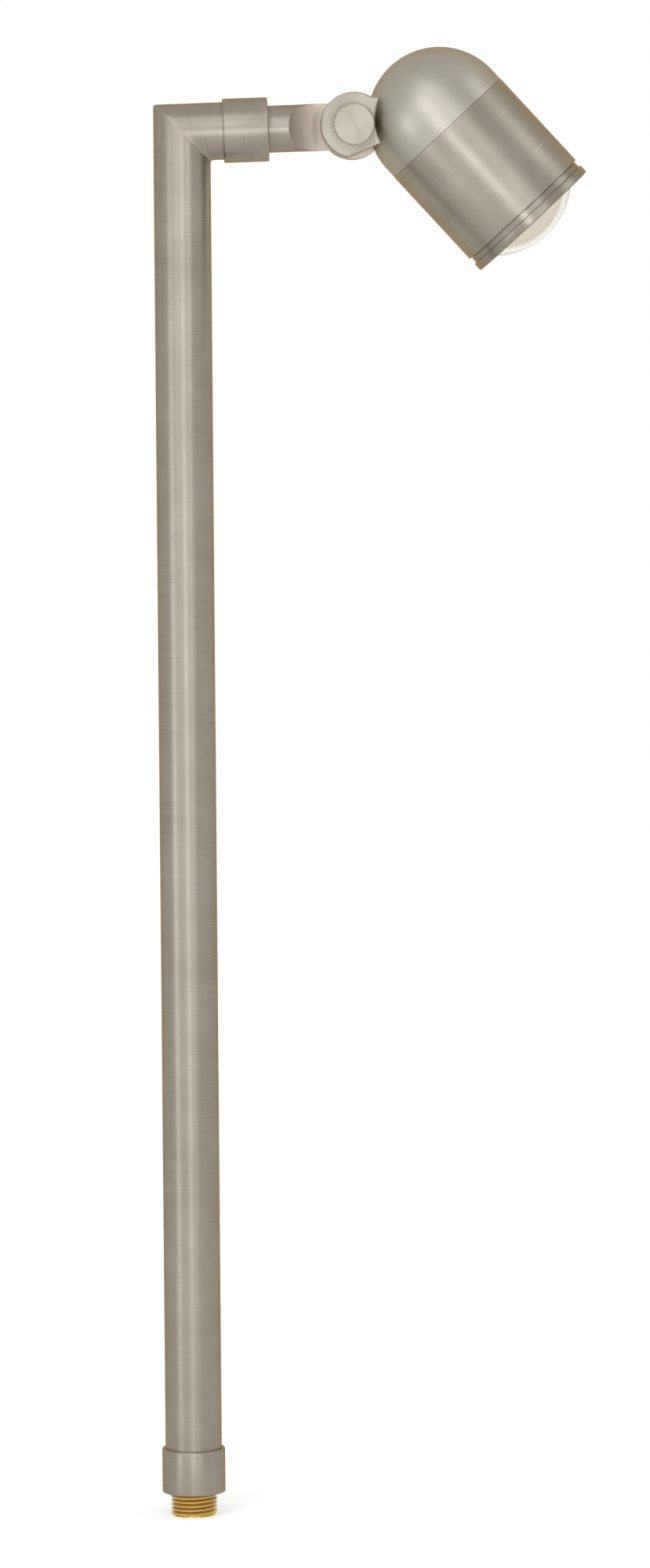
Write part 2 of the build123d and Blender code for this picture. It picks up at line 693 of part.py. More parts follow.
# Holder for the lamp's pins, on a bracket across two bosses of the dome
holder_screw_spots = [(HOLDER_SCREW_SPACING / 2, 0), (-HOLDER_SCREW_SPACING / 2, 0)]
bracket_screw_spots = [(boss_spread, 0), (-boss_spread, 0)]
lead_hole_depth = HOLDER_LENGTH - PIN_LENGTH - 2 * PIN_DIAMETER
with BuildPart() as lamp_holder:
    with BuildSketch(head_station(holder_back)):
        RectangleRounded(HOLDER_WIDTH, HOLDER_HEIGHT, HOLDER_HEIGHT / 5)
    extrude(amount=HOLDER_LENGTH)
    with BuildSketch(head_station(base_back - PIN_LENGTH)):
        with Locations(*pin_spots):
            Circle(PIN_DIAMETER / 2 + PIN_CLEARANCE)
    extrude(amount=PIN_LENGTH, mode=Mode.SUBTRACT)
    with BuildSketch(head_station(holder_back)):
        with Locations(*pin_spots):
            Circle(lead_radius + LEAD_CLEARANCE)
    extrude(amount=lead_hole_depth, mode=Mode.SUBTRACT)
    with BuildSketch(head_station(holder_back)):
        with Locations(*holder_screw_spots):
            Circle(SMALL_SCREW_DIAMETER / 2)
    extrude(amount=screw_reach, mode=Mode.SUBTRACT)
finish(lamp_holder.part, "lamp_holder")

with BuildPart() as holder_bracket:
    with BuildSketch(head_station(bracket_back)):
        RectangleRounded(BRACKET_WIDTH, BRACKET_HEIGHT, BRACKET_HEIGHT / 6)
        SlotOverall(
            PIN_SPACING + LEAD_DIAMETER + BRACKET_SLOT_HEIGHT / 2, BRACKET_SLOT_HEIGHT, mode=Mode.SUBTRACT
        )
        with Locations(*holder_screw_spots, *bracket_screw_spots):
            Circle(SMALL_SCREW_DIAMETER / 2, mode=Mode.SUBTRACT)
    extrude(amount=BRACKET_THICKNESS)
finish(holder_bracket.part, "holder_bracket")

# Holder screws come from behind the bracket, bracket screws from in front
with BuildPart() as holder_screws:
    with BuildSketch(head_station(bracket_back - SMALL_SCREW_HEAD_HEIGHT)):
        with Locations(*holder_screw_spots):
            Circle(SMALL_SCREW_HEAD / 2)
    extrude(amount=SMALL_SCREW_HEAD_HEIGHT)
    with BuildSketch(head_station(bracket_back)):
        with Locations(*holder_screw_spots):
            Circle(SMALL_SCREW_DIAMETER / 2)
    extrude(amount=SMALL_SCREW_LENGTH)
finish(holder_screws.part, "holder_screws")

with BuildPart() as bracket_screws:
    with BuildSketch(head_station(holder_back)):
        with Locations(*bracket_screw_spots):
            Circle(SMALL_SCREW_HEAD / 2)
    extrude(amount=SMALL_SCREW_HEAD_HEIGHT)
    with BuildSketch(head_station(holder_back - SMALL_SCREW_LENGTH)):
        with Locations(*bracket_screw_spots):
            Circle(SMALL_SCREW_DIAMETER / 2)
    extrude(amount=SMALL_SCREW_LENGTH)
finish(bracket_screws.part, "bracket_screws")

# Leads: two insulated wires from the holder to the nipple, parted where the joints turn
lead_side = LEAD_SPACING / 2


def lead_pair(routes, bend):
    """Two leads, each along straight runs joined by arcs."""
    with BuildPart() as leads:
        for route in routes:
            with BuildLine() as run:
                if len(route) > 2:
                    FilletPolyline(*route, radius=bend)
                else:
                    Line(*route)
            with BuildSketch(Plane(origin=run.line @ 0, z_dir=run.line % 0)):
                Circle(lead_radius)
            sweep()
    return leads.part


port_wall = pocket_radius + POCKET_WALL
port_depth = LAP_AT + PORT_DEPTH
lead_turn = bracket_back - LEAD_BEND
head_routes = []
for side in (1, -1):
    start = head_origin + NEAR * (side * PIN_SPACING / 2)
    port_line = pivot + NEAR * (port_depth + side * lead_side)
    head_routes.append(
        [
            start + head_direction * (holder_back + lead_hole_depth),
            start + head_direction * lead_turn,
            port_line + dome_direction * (port_wall + PLUG_PROUD + LEAD_BEND / 2),
            port_line + dome_direction * (CHAMBER_RADIUS - LEAD_DIAMETER),
        ]
    )
head_leads = lead_pair(head_routes, LEAD_BEND)
finish(head_leads, "head_leads")

with BuildPart() as lead_grommet:
    with BuildSketch(
        Plane(
            origin=pivot + NEAR * port_depth + dome_direction * (port_wall + PLUG_PROUD - PLUG_LENGTH),
            x_dir=(0, 1, 0),
            z_dir=dome_direction,
        )
    ):
        Circle(PORT_DIAMETER / 2 - LEAD_CLEARANCE)
        with Locations((lead_side, 0), (-lead_side, 0)):
            Circle(lead_radius + LEAD_CLEARANCE, mode=Mode.SUBTRACT)
    extrude(amount=PLUG_LENGTH)
finish(lead_grommet.part, "lead_grommet")

lead_split = arm_tube_end - LEAD_DIAMETER
knuckle_lead_stop = PIVOT_AT - LEAD_BORE_STOP - LEAD_END_GAP
knuckle_routes = []
stem_routes = []
for side in (1, -1):
    across = side * lead_side
    knuckle_routes.append(
        [
            ARM.from_local_coords((lead_split + LEAD_END_GAP, across, -LEAD_BORE_BACK)),
            ARM.from_local_coords((knuckle_lead_stop, across, -LEAD_BORE_BACK)),
        ]
    )
    turn_along = across * (sin(radians(ARM_RISE)) - 1) / cos(radians(ARM_RISE))
    stem_routes.append(
        [
            ARM.from_local_coords((lead_split, across, -LEAD_BORE_BACK)),
            ARM.from_local_coords((turn_along, across, -LEAD_BORE_BACK)),
            Vector(-across, LEAD_BORE_BACK, -THREAD_LENGTH),
        ]
    )
knuckle_leads = lead_pair(knuckle_routes, LEAD_BEND)
finish(knuckle_leads, "knuckle_leads")

stem_leads = lead_pair(stem_routes, tube_radius)
finish(stem_leads, "stem_leads")

with BuildPart() as wire_grommet:
    with BuildSketch(Plane.XY.offset(GROMMET_RECESS - THREAD_LENGTH)):
        Circle(nipple_bore - SOCKET_CLEARANCE)
        with Locations((lead_side, LEAD_BORE_BACK), (-lead_side, LEAD_BORE_BACK)):
            Circle(lead_radius + LEAD_CLEARANCE, mode=Mode.SUBTRACT)
    extrude(amount=GROMMET_LENGTH)
finish(wire_grommet.part, "wire_grommet")
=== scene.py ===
import json
from math import atan2, cos, hypot, pi, radians, sin, sqrt

import bmesh
import bpy
from mathutils import Matrix, Vector


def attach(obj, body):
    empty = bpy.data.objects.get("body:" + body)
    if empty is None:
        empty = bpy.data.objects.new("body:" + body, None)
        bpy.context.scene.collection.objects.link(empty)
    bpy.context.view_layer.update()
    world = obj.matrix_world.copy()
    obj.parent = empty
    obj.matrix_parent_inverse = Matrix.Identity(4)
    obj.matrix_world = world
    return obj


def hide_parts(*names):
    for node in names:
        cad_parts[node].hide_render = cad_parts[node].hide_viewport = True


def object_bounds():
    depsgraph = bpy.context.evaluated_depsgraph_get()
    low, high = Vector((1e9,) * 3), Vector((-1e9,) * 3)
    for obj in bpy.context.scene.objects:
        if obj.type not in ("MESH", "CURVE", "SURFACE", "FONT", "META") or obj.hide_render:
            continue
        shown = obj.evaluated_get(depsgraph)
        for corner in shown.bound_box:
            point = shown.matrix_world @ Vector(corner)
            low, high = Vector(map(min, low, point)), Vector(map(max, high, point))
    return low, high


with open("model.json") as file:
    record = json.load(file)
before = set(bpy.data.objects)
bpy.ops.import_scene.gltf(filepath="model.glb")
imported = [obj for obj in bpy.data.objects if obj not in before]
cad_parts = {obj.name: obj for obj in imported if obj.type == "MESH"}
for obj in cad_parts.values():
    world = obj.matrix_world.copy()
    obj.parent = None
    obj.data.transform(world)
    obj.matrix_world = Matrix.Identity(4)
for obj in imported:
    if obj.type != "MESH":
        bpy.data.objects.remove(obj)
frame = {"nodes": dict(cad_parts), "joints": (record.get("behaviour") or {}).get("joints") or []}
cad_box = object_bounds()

# Stem and arm: two lengths of one inch brass tube, cut at the same slant and brazed at the corner.
# The joint is filed flush, and the whole tube is brushed round and round and nickel plated.
MM = 0.001
TUBE_RADIUS = 12.7 * MM
TUBE_BORE = 11.05 * MM
STEM_FOOT = 10.3 * MM
ARM_TUBE_END = 28.0 * MM
CORNER_ROUNDING = 1.3 * MM
CORNER_STEPS = 4
ROUND_STEPS = 128
SMOOTH_LIMIT = radians(32)
MERGE = 0.0005 * MM
CLOUD_SIZE = 18 * MM
ROUGHNESS_SWING = 0.05
QUARTER_TURN = 0.25
EDGE_TINT = "#dfc6a6"
OUTWARD_SPREAD = 1.37

joints = {joint["name"]: joint for joint in frame["joints"]}
near_side = Vector((0, -1, 0))
stem_direction = Vector((0, 0, 1))
arm_direction = Vector(joints["knuckle_swivel"]["axis"]).normalized()
pivot = Vector(joints["head_tilt"]["pos_m"])
corner = pivot - arm_direction * (pivot.x / arm_direction.x)
mitre = (stem_direction + arm_direction).normalized()


def linear(code):
    """The linear colour of an sRGB hex code, with full alpha."""
    parts = [int(code[i:i + 2], 16) / 255 for i in (1, 3, 5)]
    return [p / 12.92 if p <= 0.04045 else ((p + 0.055) / 1.055) ** 2.4 for p in parts] + [1.0]


def add_node(tree, kind, inputs=None, **settings):
    """Add a node with these settings, and set its inputs to values or link them to other sockets."""
    node = tree.nodes.new(kind)
    for name, value in settings.items():
        setattr(node, name, value)
    for name, value in (inputs or {}).items():
        if isinstance(value, bpy.types.NodeSocket):
            tree.links.new(value, node.inputs[name])
        else:
            node.inputs[name].default_value = value
    return node


def start_material(name):
    """A new material, its node tree and its surface shader."""
    material = bpy.data.materials.new(name)
    material.use_nodes = True
    return material, material.node_tree, material.node_tree.nodes["Principled BSDF"]


def fixed_noise(tree, size, detail, roughness=0.5):
    """Noise of this size that stays fixed to the piece."""
    place = add_node(tree, "ShaderNodeTexCoord")
    noise = add_node(tree, "ShaderNodeTexNoise", {
        "Vector": place.outputs["Object"], "Scale": 1 / size, "Detail": detail, "Roughness": roughness})
    return noise.outputs["Fac"]


def blend(tree, weight, low, high):
    """A colour between two hex codes, by this weight."""
    mix = add_node(tree, "ShaderNodeMix", {
        0: weight, 6: linear(low), 7: linear(high)}, data_type="RGBA")
    return mix.outputs[2]


def brushed_nickel(name, pale, deep, stroke, line, roughness, stretch, relief):
    """Nickel plate over brass brushed with fine grit. The scratches run along u of the brush map.

    They spread each highlight across the strokes and leave fine light and dark lines along them. Real
    scratches are about 0.05 mm apart, too fine to show, so the lines are drawn several times as wide.
    A warm tint at grazing angles gives the brown rims of a thin plate over brass.
    """
    material, tree, shader = start_material(name)
    brush = add_node(tree, "ShaderNodeUVMap", uv_map="brush")
    strokes = add_node(tree, "ShaderNodeMapping", {
        "Vector": brush.outputs["UV"], "Scale": (1 / stroke if stroke else 0.0, 1 / line, 1.0)})
    lines = add_node(tree, "ShaderNodeTexNoise", {
        "Vector": strokes.outputs["Vector"], "Scale": 1.0, "Detail": 3.0, "Roughness": 0.65})
    clouds = fixed_noise(tree, CLOUD_SIZE, detail=2.0)
    tone = add_node(tree, "ShaderNodeMath", {0: lines.outputs["Fac"], 1: clouds}, operation="ADD")
    weight = add_node(tree, "ShaderNodeMapRange", {
        "Value": tone.outputs["Value"], "From Min": 0.6, "From Max": 1.4, "To Min": 0.0, "To Max": 1.0})
    colour = blend(tree, weight.outputs["Result"], deep, pale)
    rough = add_node(tree, "ShaderNodeMapRange", {
        "Value": lines.outputs["Fac"], "From Min": 0.25, "From Max": 0.75,
        "To Min": roughness + ROUGHNESS_SWING, "To Max": roughness - ROUGHNESS_SWING})
    bump = add_node(tree, "ShaderNodeBump", {
        "Height": lines.outputs["Fac"], "Strength": 1.0, "Distance": relief})
    tangent = add_node(tree, "ShaderNodeTangent", direction_type="UV_MAP", uv_map="brush")
    tree.links.new(colour, shader.inputs["Base Color"])
    tree.links.new(rough.outputs["Result"], shader.inputs["Roughness"])
    tree.links.new(bump.outputs["Normal"], shader.inputs["Normal"])
    tree.links.new(tangent.outputs["Tangent"], shader.inputs["Tangent"])
    shader.inputs["Metallic"].default_value = 1.0
    shader.inputs["Anisotropic"].default_value = stretch
    shader.inputs["Anisotropic Rotation"].default_value = QUARTER_TURN
    shader.inputs["Specular Tint"].default_value = linear(EDGE_TINT)
    return material


def frame_at(origin, axis, facing):
    """The placement with its Z along this axis and its X on the side that faces this way."""
    x = (facing - axis * facing.dot(axis)).normalized()
    turn = Matrix((x, axis.cross(x), axis)).transposed().to_4x4()
    return Matrix.Translation(origin) @ turn


def brush_round(bm, faces, place):
    """Lay the brush map on these faces: u goes round the placement's Z, v runs along it and outwards."""
    layer = bm.loops.layers.uv.get("brush") or bm.loops.layers.uv.new("brush")
    back = place.inverted()
    for face in faces:
        middle = back @ face.calc_center_median()
        start = atan2(middle.y, middle.x)
        for loop in face.loops:
            spot = back @ loop.vert.co
            swing = (atan2(spot.y, spot.x) - start + pi) % (2 * pi) - pi
            radius = hypot(spot.x, spot.y)
            loop[layer].uv = ((start + swing) * TUBE_RADIUS, spot.z + OUTWARD_SPREAD * radius)


def make_piece(name, bm, *materials):
    """Turn a finished mesh into an object with smooth faces and sharp edges."""
    mesh = bpy.data.meshes.new(name)
    bm.to_mesh(mesh)
    bm.free()
    for material in materials:
        mesh.materials.append(material)
    mesh.shade_smooth()
    mesh.set_sharp_from_angle(angle=SMOOTH_LIMIT)
    piece = bpy.data.objects.new(name, mesh)
    bpy.context.scene.collection.objects.link(piece)
    return piece


def new_edges(result):
    """The edges that an extrusion made at its free end."""
    return [e for e in result["geom"] if isinstance(e, bmesh.types.BMEdge) and e.is_boundary]


def new_points(result):
    """The points that an extrusion made."""
    return [v for v in result["geom"] if isinstance(v, bmesh.types.BMVert)]


def mitred_wall(bm, radius):
    """Run a circle up the stem to the mitre and out along the arm. Its end loops and its corner ring."""
    foot = bmesh.ops.create_circle(
        bm, radius=radius, segments=ROUND_STEPS, matrix=Matrix.Translation((0, 0, STEM_FOOT)))
    first = list({e for v in foot["verts"] for e in v.link_edges})
    rise = bmesh.ops.extrude_edge_only(bm, edges=first)
    ring = new_edges(rise)
    for v in new_points(rise):
        v.co.z = corner.z - (v.co.x * mitre.x + v.co.y * mitre.y) / mitre.z
    run = bmesh.ops.extrude_edge_only(bm, edges=ring)
    last = new_edges(run)
    for v in new_points(run):
        v.co += arm_direction * (ARM_TUBE_END - (v.co - corner).dot(arm_direction))
    return first, last, ring


STEM = frame_at(Vector(), stem_direction, near_side)
ARM = frame_at(corner, arm_direction, near_side)
tube_nickel = brushed_nickel(
    "brushed_nickel_tube", "#9b9488", "#8b8476", stroke=30 * MM, line=0.45 * MM, roughness=0.42,
    stretch=0.7, relief=0.006 * MM)
bm = bmesh.new()
outer_foot, outer_end, outer_ring = mitred_wall(bm, TUBE_RADIUS)
inner_foot, inner_end = mitred_wall(bm, TUBE_BORE)[:2]
bmesh.ops.bridge_loops(bm, edges=outer_foot + inner_foot)
bmesh.ops.bridge_loops(bm, edges=outer_end + inner_end)
bmesh.ops.bevel(
    bm, geom=outer_ring, offset=CORNER_ROUNDING, offset_type="OFFSET", segments=CORNER_STEPS, profile=0.5,
    affect="EDGES", material=-1)
bmesh.ops.remove_doubles(bm, verts=bm.verts, dist=MERGE)
bmesh.ops.recalc_face_normals(bm, faces=bm.faces)
on_stem = [f for f in bm.faces if (f.calc_center_median() - corner).dot(mitre) < 0]
on_arm = [f for f in bm.faces if (f.calc_center_median() - corner).dot(mitre) >= 0]
brush_round(bm, on_stem, STEM)
brush_round(bm, on_arm, ARM)
stem_and_arm = make_piece("stem_and_arm", bm, tube_nickel)
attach(stem_and_arm, "stem")
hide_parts("stem_tube", "arm_tube")

# Collars: two turned brass ferrules, soldered over the foot of the stem and the end of the arm.
# Their rims are broken by a small rounding, which catches the light as a thin line.
COLLAR_RADIUS = 14.2 * MM
COLLAR_LENGTH = 20.0 * MM
COLLAR_SOCKET = 9.7 * MM
COLLAR_EDGE = 0.6 * MM
SOCKET_RADIUS = 12.75 * MM
BASE_BORE = 9.875 * MM
ARM_BORE = 10.45 * MM
ARM_COLLAR_START = 18.3 * MM
BORE_MOUTH = 0.45 * MM
RIM_STEPS = 3
PICK = 0.01 * MM


def turned(outline, steps=ROUND_STEPS, closed=True):
    """Spin an outline of distances along the axis and radii into a solid."""
    bm = bmesh.new()
    points = [bm.verts.new((radius, 0, along)) for along, radius in outline]
    pairs = list(zip(points, points[1:] + points[:1]))
    edges = [bm.edges.new(pair) for pair in (pairs if closed else pairs[:-1])]
    bmesh.ops.spin(
        bm, geom=points + edges, cent=(0, 0, 0), axis=(0, 0, 1), angle=2 * pi, steps=steps, use_merge=True)
    bmesh.ops.remove_doubles(bm, verts=bm.verts, dist=MERGE)
    bmesh.ops.recalc_face_normals(bm, faces=bm.faces)
    return bm


def round_rims(bm, width, *rims):
    """Round the circular edges at these distances along the axis and radii."""
    chosen = []
    for along, radius in rims:
        for edge in bm.edges:
            if all(abs(v.co.z - along) + abs(hypot(v.co.x, v.co.y) - radius) < PICK for v in edge.verts):
                chosen.append(edge)
    bmesh.ops.bevel(
        bm, geom=chosen, offset=width, offset_type="OFFSET", segments=RIM_STEPS, profile=0.5,
        affect="EDGES", material=-1)


for name, start, bore, socket_first, place in (
    ("base_collar", 0.0, BASE_BORE, False, STEM),
    ("arm_collar", ARM_COLLAR_START, ARM_BORE, True, ARM),
):
    end = start + COLLAR_LENGTH
    if socket_first:
        shoulder = start + COLLAR_SOCKET
        inside = [(end, bore), (shoulder, bore), (shoulder, SOCKET_RADIUS), (start, SOCKET_RADIUS)]
    else:
        shoulder = end - COLLAR_SOCKET
        inside = [(end, SOCKET_RADIUS), (shoulder, SOCKET_RADIUS), (shoulder, bore), (start, bore)]
    bm = turned([(start, COLLAR_RADIUS), (end, COLLAR_RADIUS)] + inside)
    round_rims(bm, COLLAR_EDGE, (start, COLLAR_RADIUS), (end, COLLAR_RADIUS))
    if socket_first:
        round_rims(bm, BORE_MOUTH, (end, bore))
    bm.transform(place)
    brush_round(bm, bm.faces, place)
    collar = make_piece("turned_" + name, bm, tube_nickel)
    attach(collar, "stem")
    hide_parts(name)

# Thread nipple: a length of brass rod, bored for the leads, with a right-hand pipe thread cut on it.
# It is screwed into the base collar and left bare. Its crests are painted pale as a highlight, and its
# grooves deep gold as shade.
THREAD_RADIUS = 10.4 * MM
THREAD_ROOT = 9.25 * MM
THREAD_PITCH = 1.814 * MM
THREAD_CREST = 0.35 * MM
THREAD_END = -10.5 * MM
THREAD_LEAD_IN = 9.5 * MM
NIPPLE_SHANK = 9.825 * MM
NIPPLE_BORE = 7.35 * MM
NIPPLE_TOP = 10.3 * MM
THREAD_TURNS = 9
STEPS_PER_TURN = 72
THREAD_WELD = 0.01 * MM
PATCH_SIZE = 3 * MM
CUT_LENGTH = 9 * MM
CUT_WIDTH = 0.12 * MM


def bare_brass(name, pale, deep):
    """Turned brass with no lacquer, with a painted highlight that makes the crests pale and painted shade
    that leaves the grooves deep gold.

    Fine rings from the cutting tool lie round it and break up its glints.
    """
    material, tree, shader = start_material(name)
    patches = fixed_noise(tree, PATCH_SIZE, detail=4.0, roughness=0.6)
    place = add_node(tree, "ShaderNodeTexCoord")
    cuts = add_node(tree, "ShaderNodeMapping", {
        "Vector": place.outputs["Object"], "Scale": (1 / CUT_LENGTH, 1 / CUT_LENGTH, 1 / CUT_WIDTH)})
    lines = add_node(tree, "ShaderNodeTexNoise", {
        "Vector": cuts.outputs["Vector"], "Scale": 1.0, "Detail": 2.0})
    across = add_node(tree, "ShaderNodeVectorMath", {
        0: place.outputs["Object"], 1: (1, 1, 0)}, operation="MULTIPLY")
    reach = add_node(tree, "ShaderNodeVectorMath", {0: across.outputs["Vector"]}, operation="LENGTH")
    # painted highlight and shade: paler towards the crests, deeper gold towards the roots of the grooves
    crest_highlight = add_node(tree, "ShaderNodeMapRange", {
        "Value": reach.outputs["Value"], "From Min": THREAD_ROOT, "From Max": THREAD_RADIUS})
    bright = add_node(tree, "ShaderNodeMath", {
        0: crest_highlight.outputs["Result"], 1: patches}, operation="ADD")
    weight = add_node(tree, "ShaderNodeMapRange", {
        "Value": bright.outputs["Value"], "From Min": 0.6, "From Max": 1.6, "To Min": 0.0, "To Max": 1.0})
    colour = blend(tree, weight.outputs["Result"], deep, pale)
    rough = add_node(tree, "ShaderNodeMapRange", {
        "Value": patches, "From Min": 0.3, "From Max": 0.7, "To Min": 0.42, "To Max": 0.28})
    bump = add_node(tree, "ShaderNodeBump", {
        "Height": lines.outputs["Fac"], "Strength": 0.6, "Distance": 0.01 * MM})
    tree.links.new(colour, shader.inputs["Base Color"])
    tree.links.new(rough.outputs["Result"], shader.inputs["Roughness"])
    tree.links.new(bump.outputs["Normal"], shader.inputs["Normal"])
    shader.inputs["Metallic"].default_value = 1.0
    return material


def widen(bm, edges, radius=None, along=None):
    """Extrude a ring of edges to another radius or another place along the axis."""
    made = bmesh.ops.extrude_edge_only(bm, edges=edges)
    for v in new_points(made):
        if radius:
            factor = radius / hypot(v.co.x, v.co.y)
            v.co.x *= factor
            v.co.y *= factor
        if along is not None:
            v.co.z = along
    return new_edges(made)


# the pale colour is the painted highlight on the crests, and the deep gold is the painted shade in the
# grooves
brass = bare_brass("bare_turned_brass", "#cbbc88", "#c49f54")
# one pitch of the thread, wound up past both ends, welded and cut off square
bm = bmesh.new()
thread_start = THREAD_END - 2 * THREAD_PITCH
groove = thread_start + (THREAD_CREST + THREAD_PITCH) / 2
profile = [
    bm.verts.new((radius, 0, along))
    for radius, along in (
        (THREAD_RADIUS, thread_start), (THREAD_RADIUS, thread_start + THREAD_CREST),
        (THREAD_ROOT, groove), (THREAD_RADIUS, thread_start + THREAD_PITCH))
]
flanks = [bm.edges.new(pair) for pair in zip(profile, profile[1:])]
bmesh.ops.spin(
    bm, geom=profile + flanks, cent=(0, 0, 0), axis=(0, 0, 1), dvec=(0, 0, THREAD_PITCH / STEPS_PER_TURN),
    angle=2 * pi * THREAD_TURNS, steps=STEPS_PER_TURN * THREAD_TURNS)
bmesh.ops.remove_doubles(bm, verts=bm.verts, dist=THREAD_WELD)
for level, direction in ((THREAD_END, -1), (0.0, 1)):
    bmesh.ops.bisect_plane(
        bm, geom=bm.verts[:] + bm.edges[:] + bm.faces[:], dist=MERGE, plane_co=(0, 0, level),
        plane_no=(0, 0, direction), clear_outer=True)
# the lead-in at the foot is a cone of 45 degrees
for v in bm.verts:
    limit = THREAD_LEAD_IN + (v.co.z - THREAD_END)
    if hypot(v.co.x, v.co.y) > limit:
        factor = limit / hypot(v.co.x, v.co.y)
        v.co.x *= factor
        v.co.y *= factor
# the shank above the thread, and the bore
ends = [e for e in bm.edges if e.is_boundary]
lower = [e for e in ends if e.verts[0].co.z < THREAD_END / 2]
upper = [e for e in ends if e.verts[0].co.z >= THREAD_END / 2]
upper = widen(bm, upper, radius=NIPPLE_SHANK)
upper = widen(bm, upper, along=NIPPLE_TOP)
upper = widen(bm, upper, radius=NIPPLE_BORE)
lower = widen(bm, lower, radius=NIPPLE_BORE)
bmesh.ops.bridge_loops(bm, edges=upper + lower)
bmesh.ops.recalc_face_normals(bm, faces=bm.faces)
nipple = make_piece("pipe_thread_nipple", bm, brass)
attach(nipple, "stem")
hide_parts("thread_nipple")

# Knuckle: a turned brass rod with a disc at its end, milled down by a hollow ramp so that the head's lug
# lies beside it. It screws into the arm collar, and the thumb screw threads into the disc.
ROD_RADIUS = 10.4 * MM
ROD_START = 28.3 * MM
PIVOT_AT = 76.0 * MM
LUG_RADIUS = 14.5 * MM
LUG_EDGE = 0.4 * MM
TONGUE_FACE = 1.8 * MM
TONGUE_BACK = -11.0 * MM
RAMP_START = 47.3 * MM
RAMP_END = 60.7 * MM
RAMP_HOLLOW = 1.2 * MM
RAMP_STEPS = 20
SCREW_HOLE = 3.225 * MM
HOLE_STEPS = 48
CUT_ROOM = 20.0 * MM
CUT_WELD = 0.002 * MM
LEVEL_FACING = 0.9
SLOPE_FACING = 0.3
FACE_BAND = 0.05 * MM
SIDE_BAND = 0.1 * MM
PIVOT = frame_at(pivot, near_side, -arm_direction)


def combine(bm, other, operation):
    """Join, cut or intersect two closed meshes."""
    blanks = []
    for source in (bm, other):
        mesh = bpy.data.meshes.new("blank")
        source.to_mesh(mesh)
        source.free()
        blanks.append(bpy.data.objects.new("blank", mesh))
        bpy.context.scene.collection.objects.link(blanks[-1])
    cut = blanks[0].modifiers.new("cut", "BOOLEAN")
    cut.operation = operation
    cut.solver = "EXACT"
    cut.object = blanks[1]
    depsgraph = bpy.context.evaluated_depsgraph_get()
    shaped = bpy.data.meshes.new_from_object(blanks[0].evaluated_get(depsgraph))
    result = bmesh.new()
    result.from_mesh(shaped)
    bpy.data.meshes.remove(shaped)
    for blank in blanks:
        mesh = blank.data
        bpy.data.objects.remove(blank)
        bpy.data.meshes.remove(mesh)
    bmesh.ops.remove_doubles(result, verts=result.verts, dist=CUT_WELD)
    return result


def placed(bm, place):
    """Move a mesh from its own axis to its place."""
    bm.transform(place)
    return bm


def plug(radius, low, high, steps=ROUND_STEPS):
    """A plain round plug along the axis."""
    return turned([(low, 0), (low, radius), (high, radius), (high, 0)], steps, closed=False)


def brush_flat(bm, faces, along, across):
    """Lay the brush map on these faces with its strokes in one straight direction."""
    layer = bm.loops.layers.uv.get("brush")
    for face in faces:
        for loop in face.loops:
            loop[layer].uv = (loop.vert.co.dot(along), loop.vert.co.dot(across))


# the milled ramp is plated over straight cutter marks, so it is duller than the brushed rod, and its colour
# is painted paler as a highlight for the light it catches
milled_nickel_painted_pale = brushed_nickel(
    "milled_nickel_painted_pale", "#c2b8a8", "#a2978a", stroke=60 * MM, line=0.6 * MM, roughness=0.48, stretch=0.5,
    relief=0.014 * MM)
rod = placed(plug(ROD_RADIUS, ROD_START, PIVOT_AT), ARM)
tongue = turned([
    (TONGUE_BACK, 0), (TONGUE_BACK, LUG_RADIUS - LUG_EDGE), (TONGUE_BACK + LUG_EDGE, LUG_RADIUS),
    (TONGUE_FACE, LUG_RADIUS), (TONGUE_FACE, 0)], closed=False)
bm = combine(rod, placed(tongue, PIVOT), "UNION")
# the ramp and the flat beyond it are milled away in one cut, and the ramp is hollow
cutter = bmesh.new()
ramp_top = Vector((ROD_RADIUS, RAMP_START))
ramp_foot = Vector((TONGUE_FACE, RAMP_END))
outline = [
    (ROD_RADIUS + CUT_ROOM, RAMP_START), (ROD_RADIUS + CUT_ROOM, PIVOT_AT + CUT_ROOM),
    (TONGUE_FACE, PIVOT_AT + CUT_ROOM)]
for step in range(RAMP_STEPS + 1):
    t = 1 - step / RAMP_STEPS
    spot = ramp_top.lerp(ramp_foot, t)
    dip = 4 * t * (1 - t) * RAMP_HOLLOW
    outline.append((spot.x - dip, spot.y - dip))
cutter_end = cutter.faces.new([
    cutter.verts.new((nearness, -CUT_ROOM, along)) for nearness, along in outline])
raised = bmesh.ops.extrude_face_region(cutter, geom=[cutter_end])
bmesh.ops.translate(cutter, verts=new_points(raised), vec=(0, 2 * CUT_ROOM, 0))
bmesh.ops.recalc_face_normals(cutter, faces=cutter.faces)
bm = combine(bm, placed(cutter, ARM), "DIFFERENCE")
screw_hole = plug(SCREW_HOLE, TONGUE_BACK - MM, TONGUE_FACE + MM, HOLE_STEPS)
bm = combine(bm, placed(screw_hole, PIVOT), "DIFFERENCE")
bmesh.ops.recalc_face_normals(bm, faces=bm.faces)
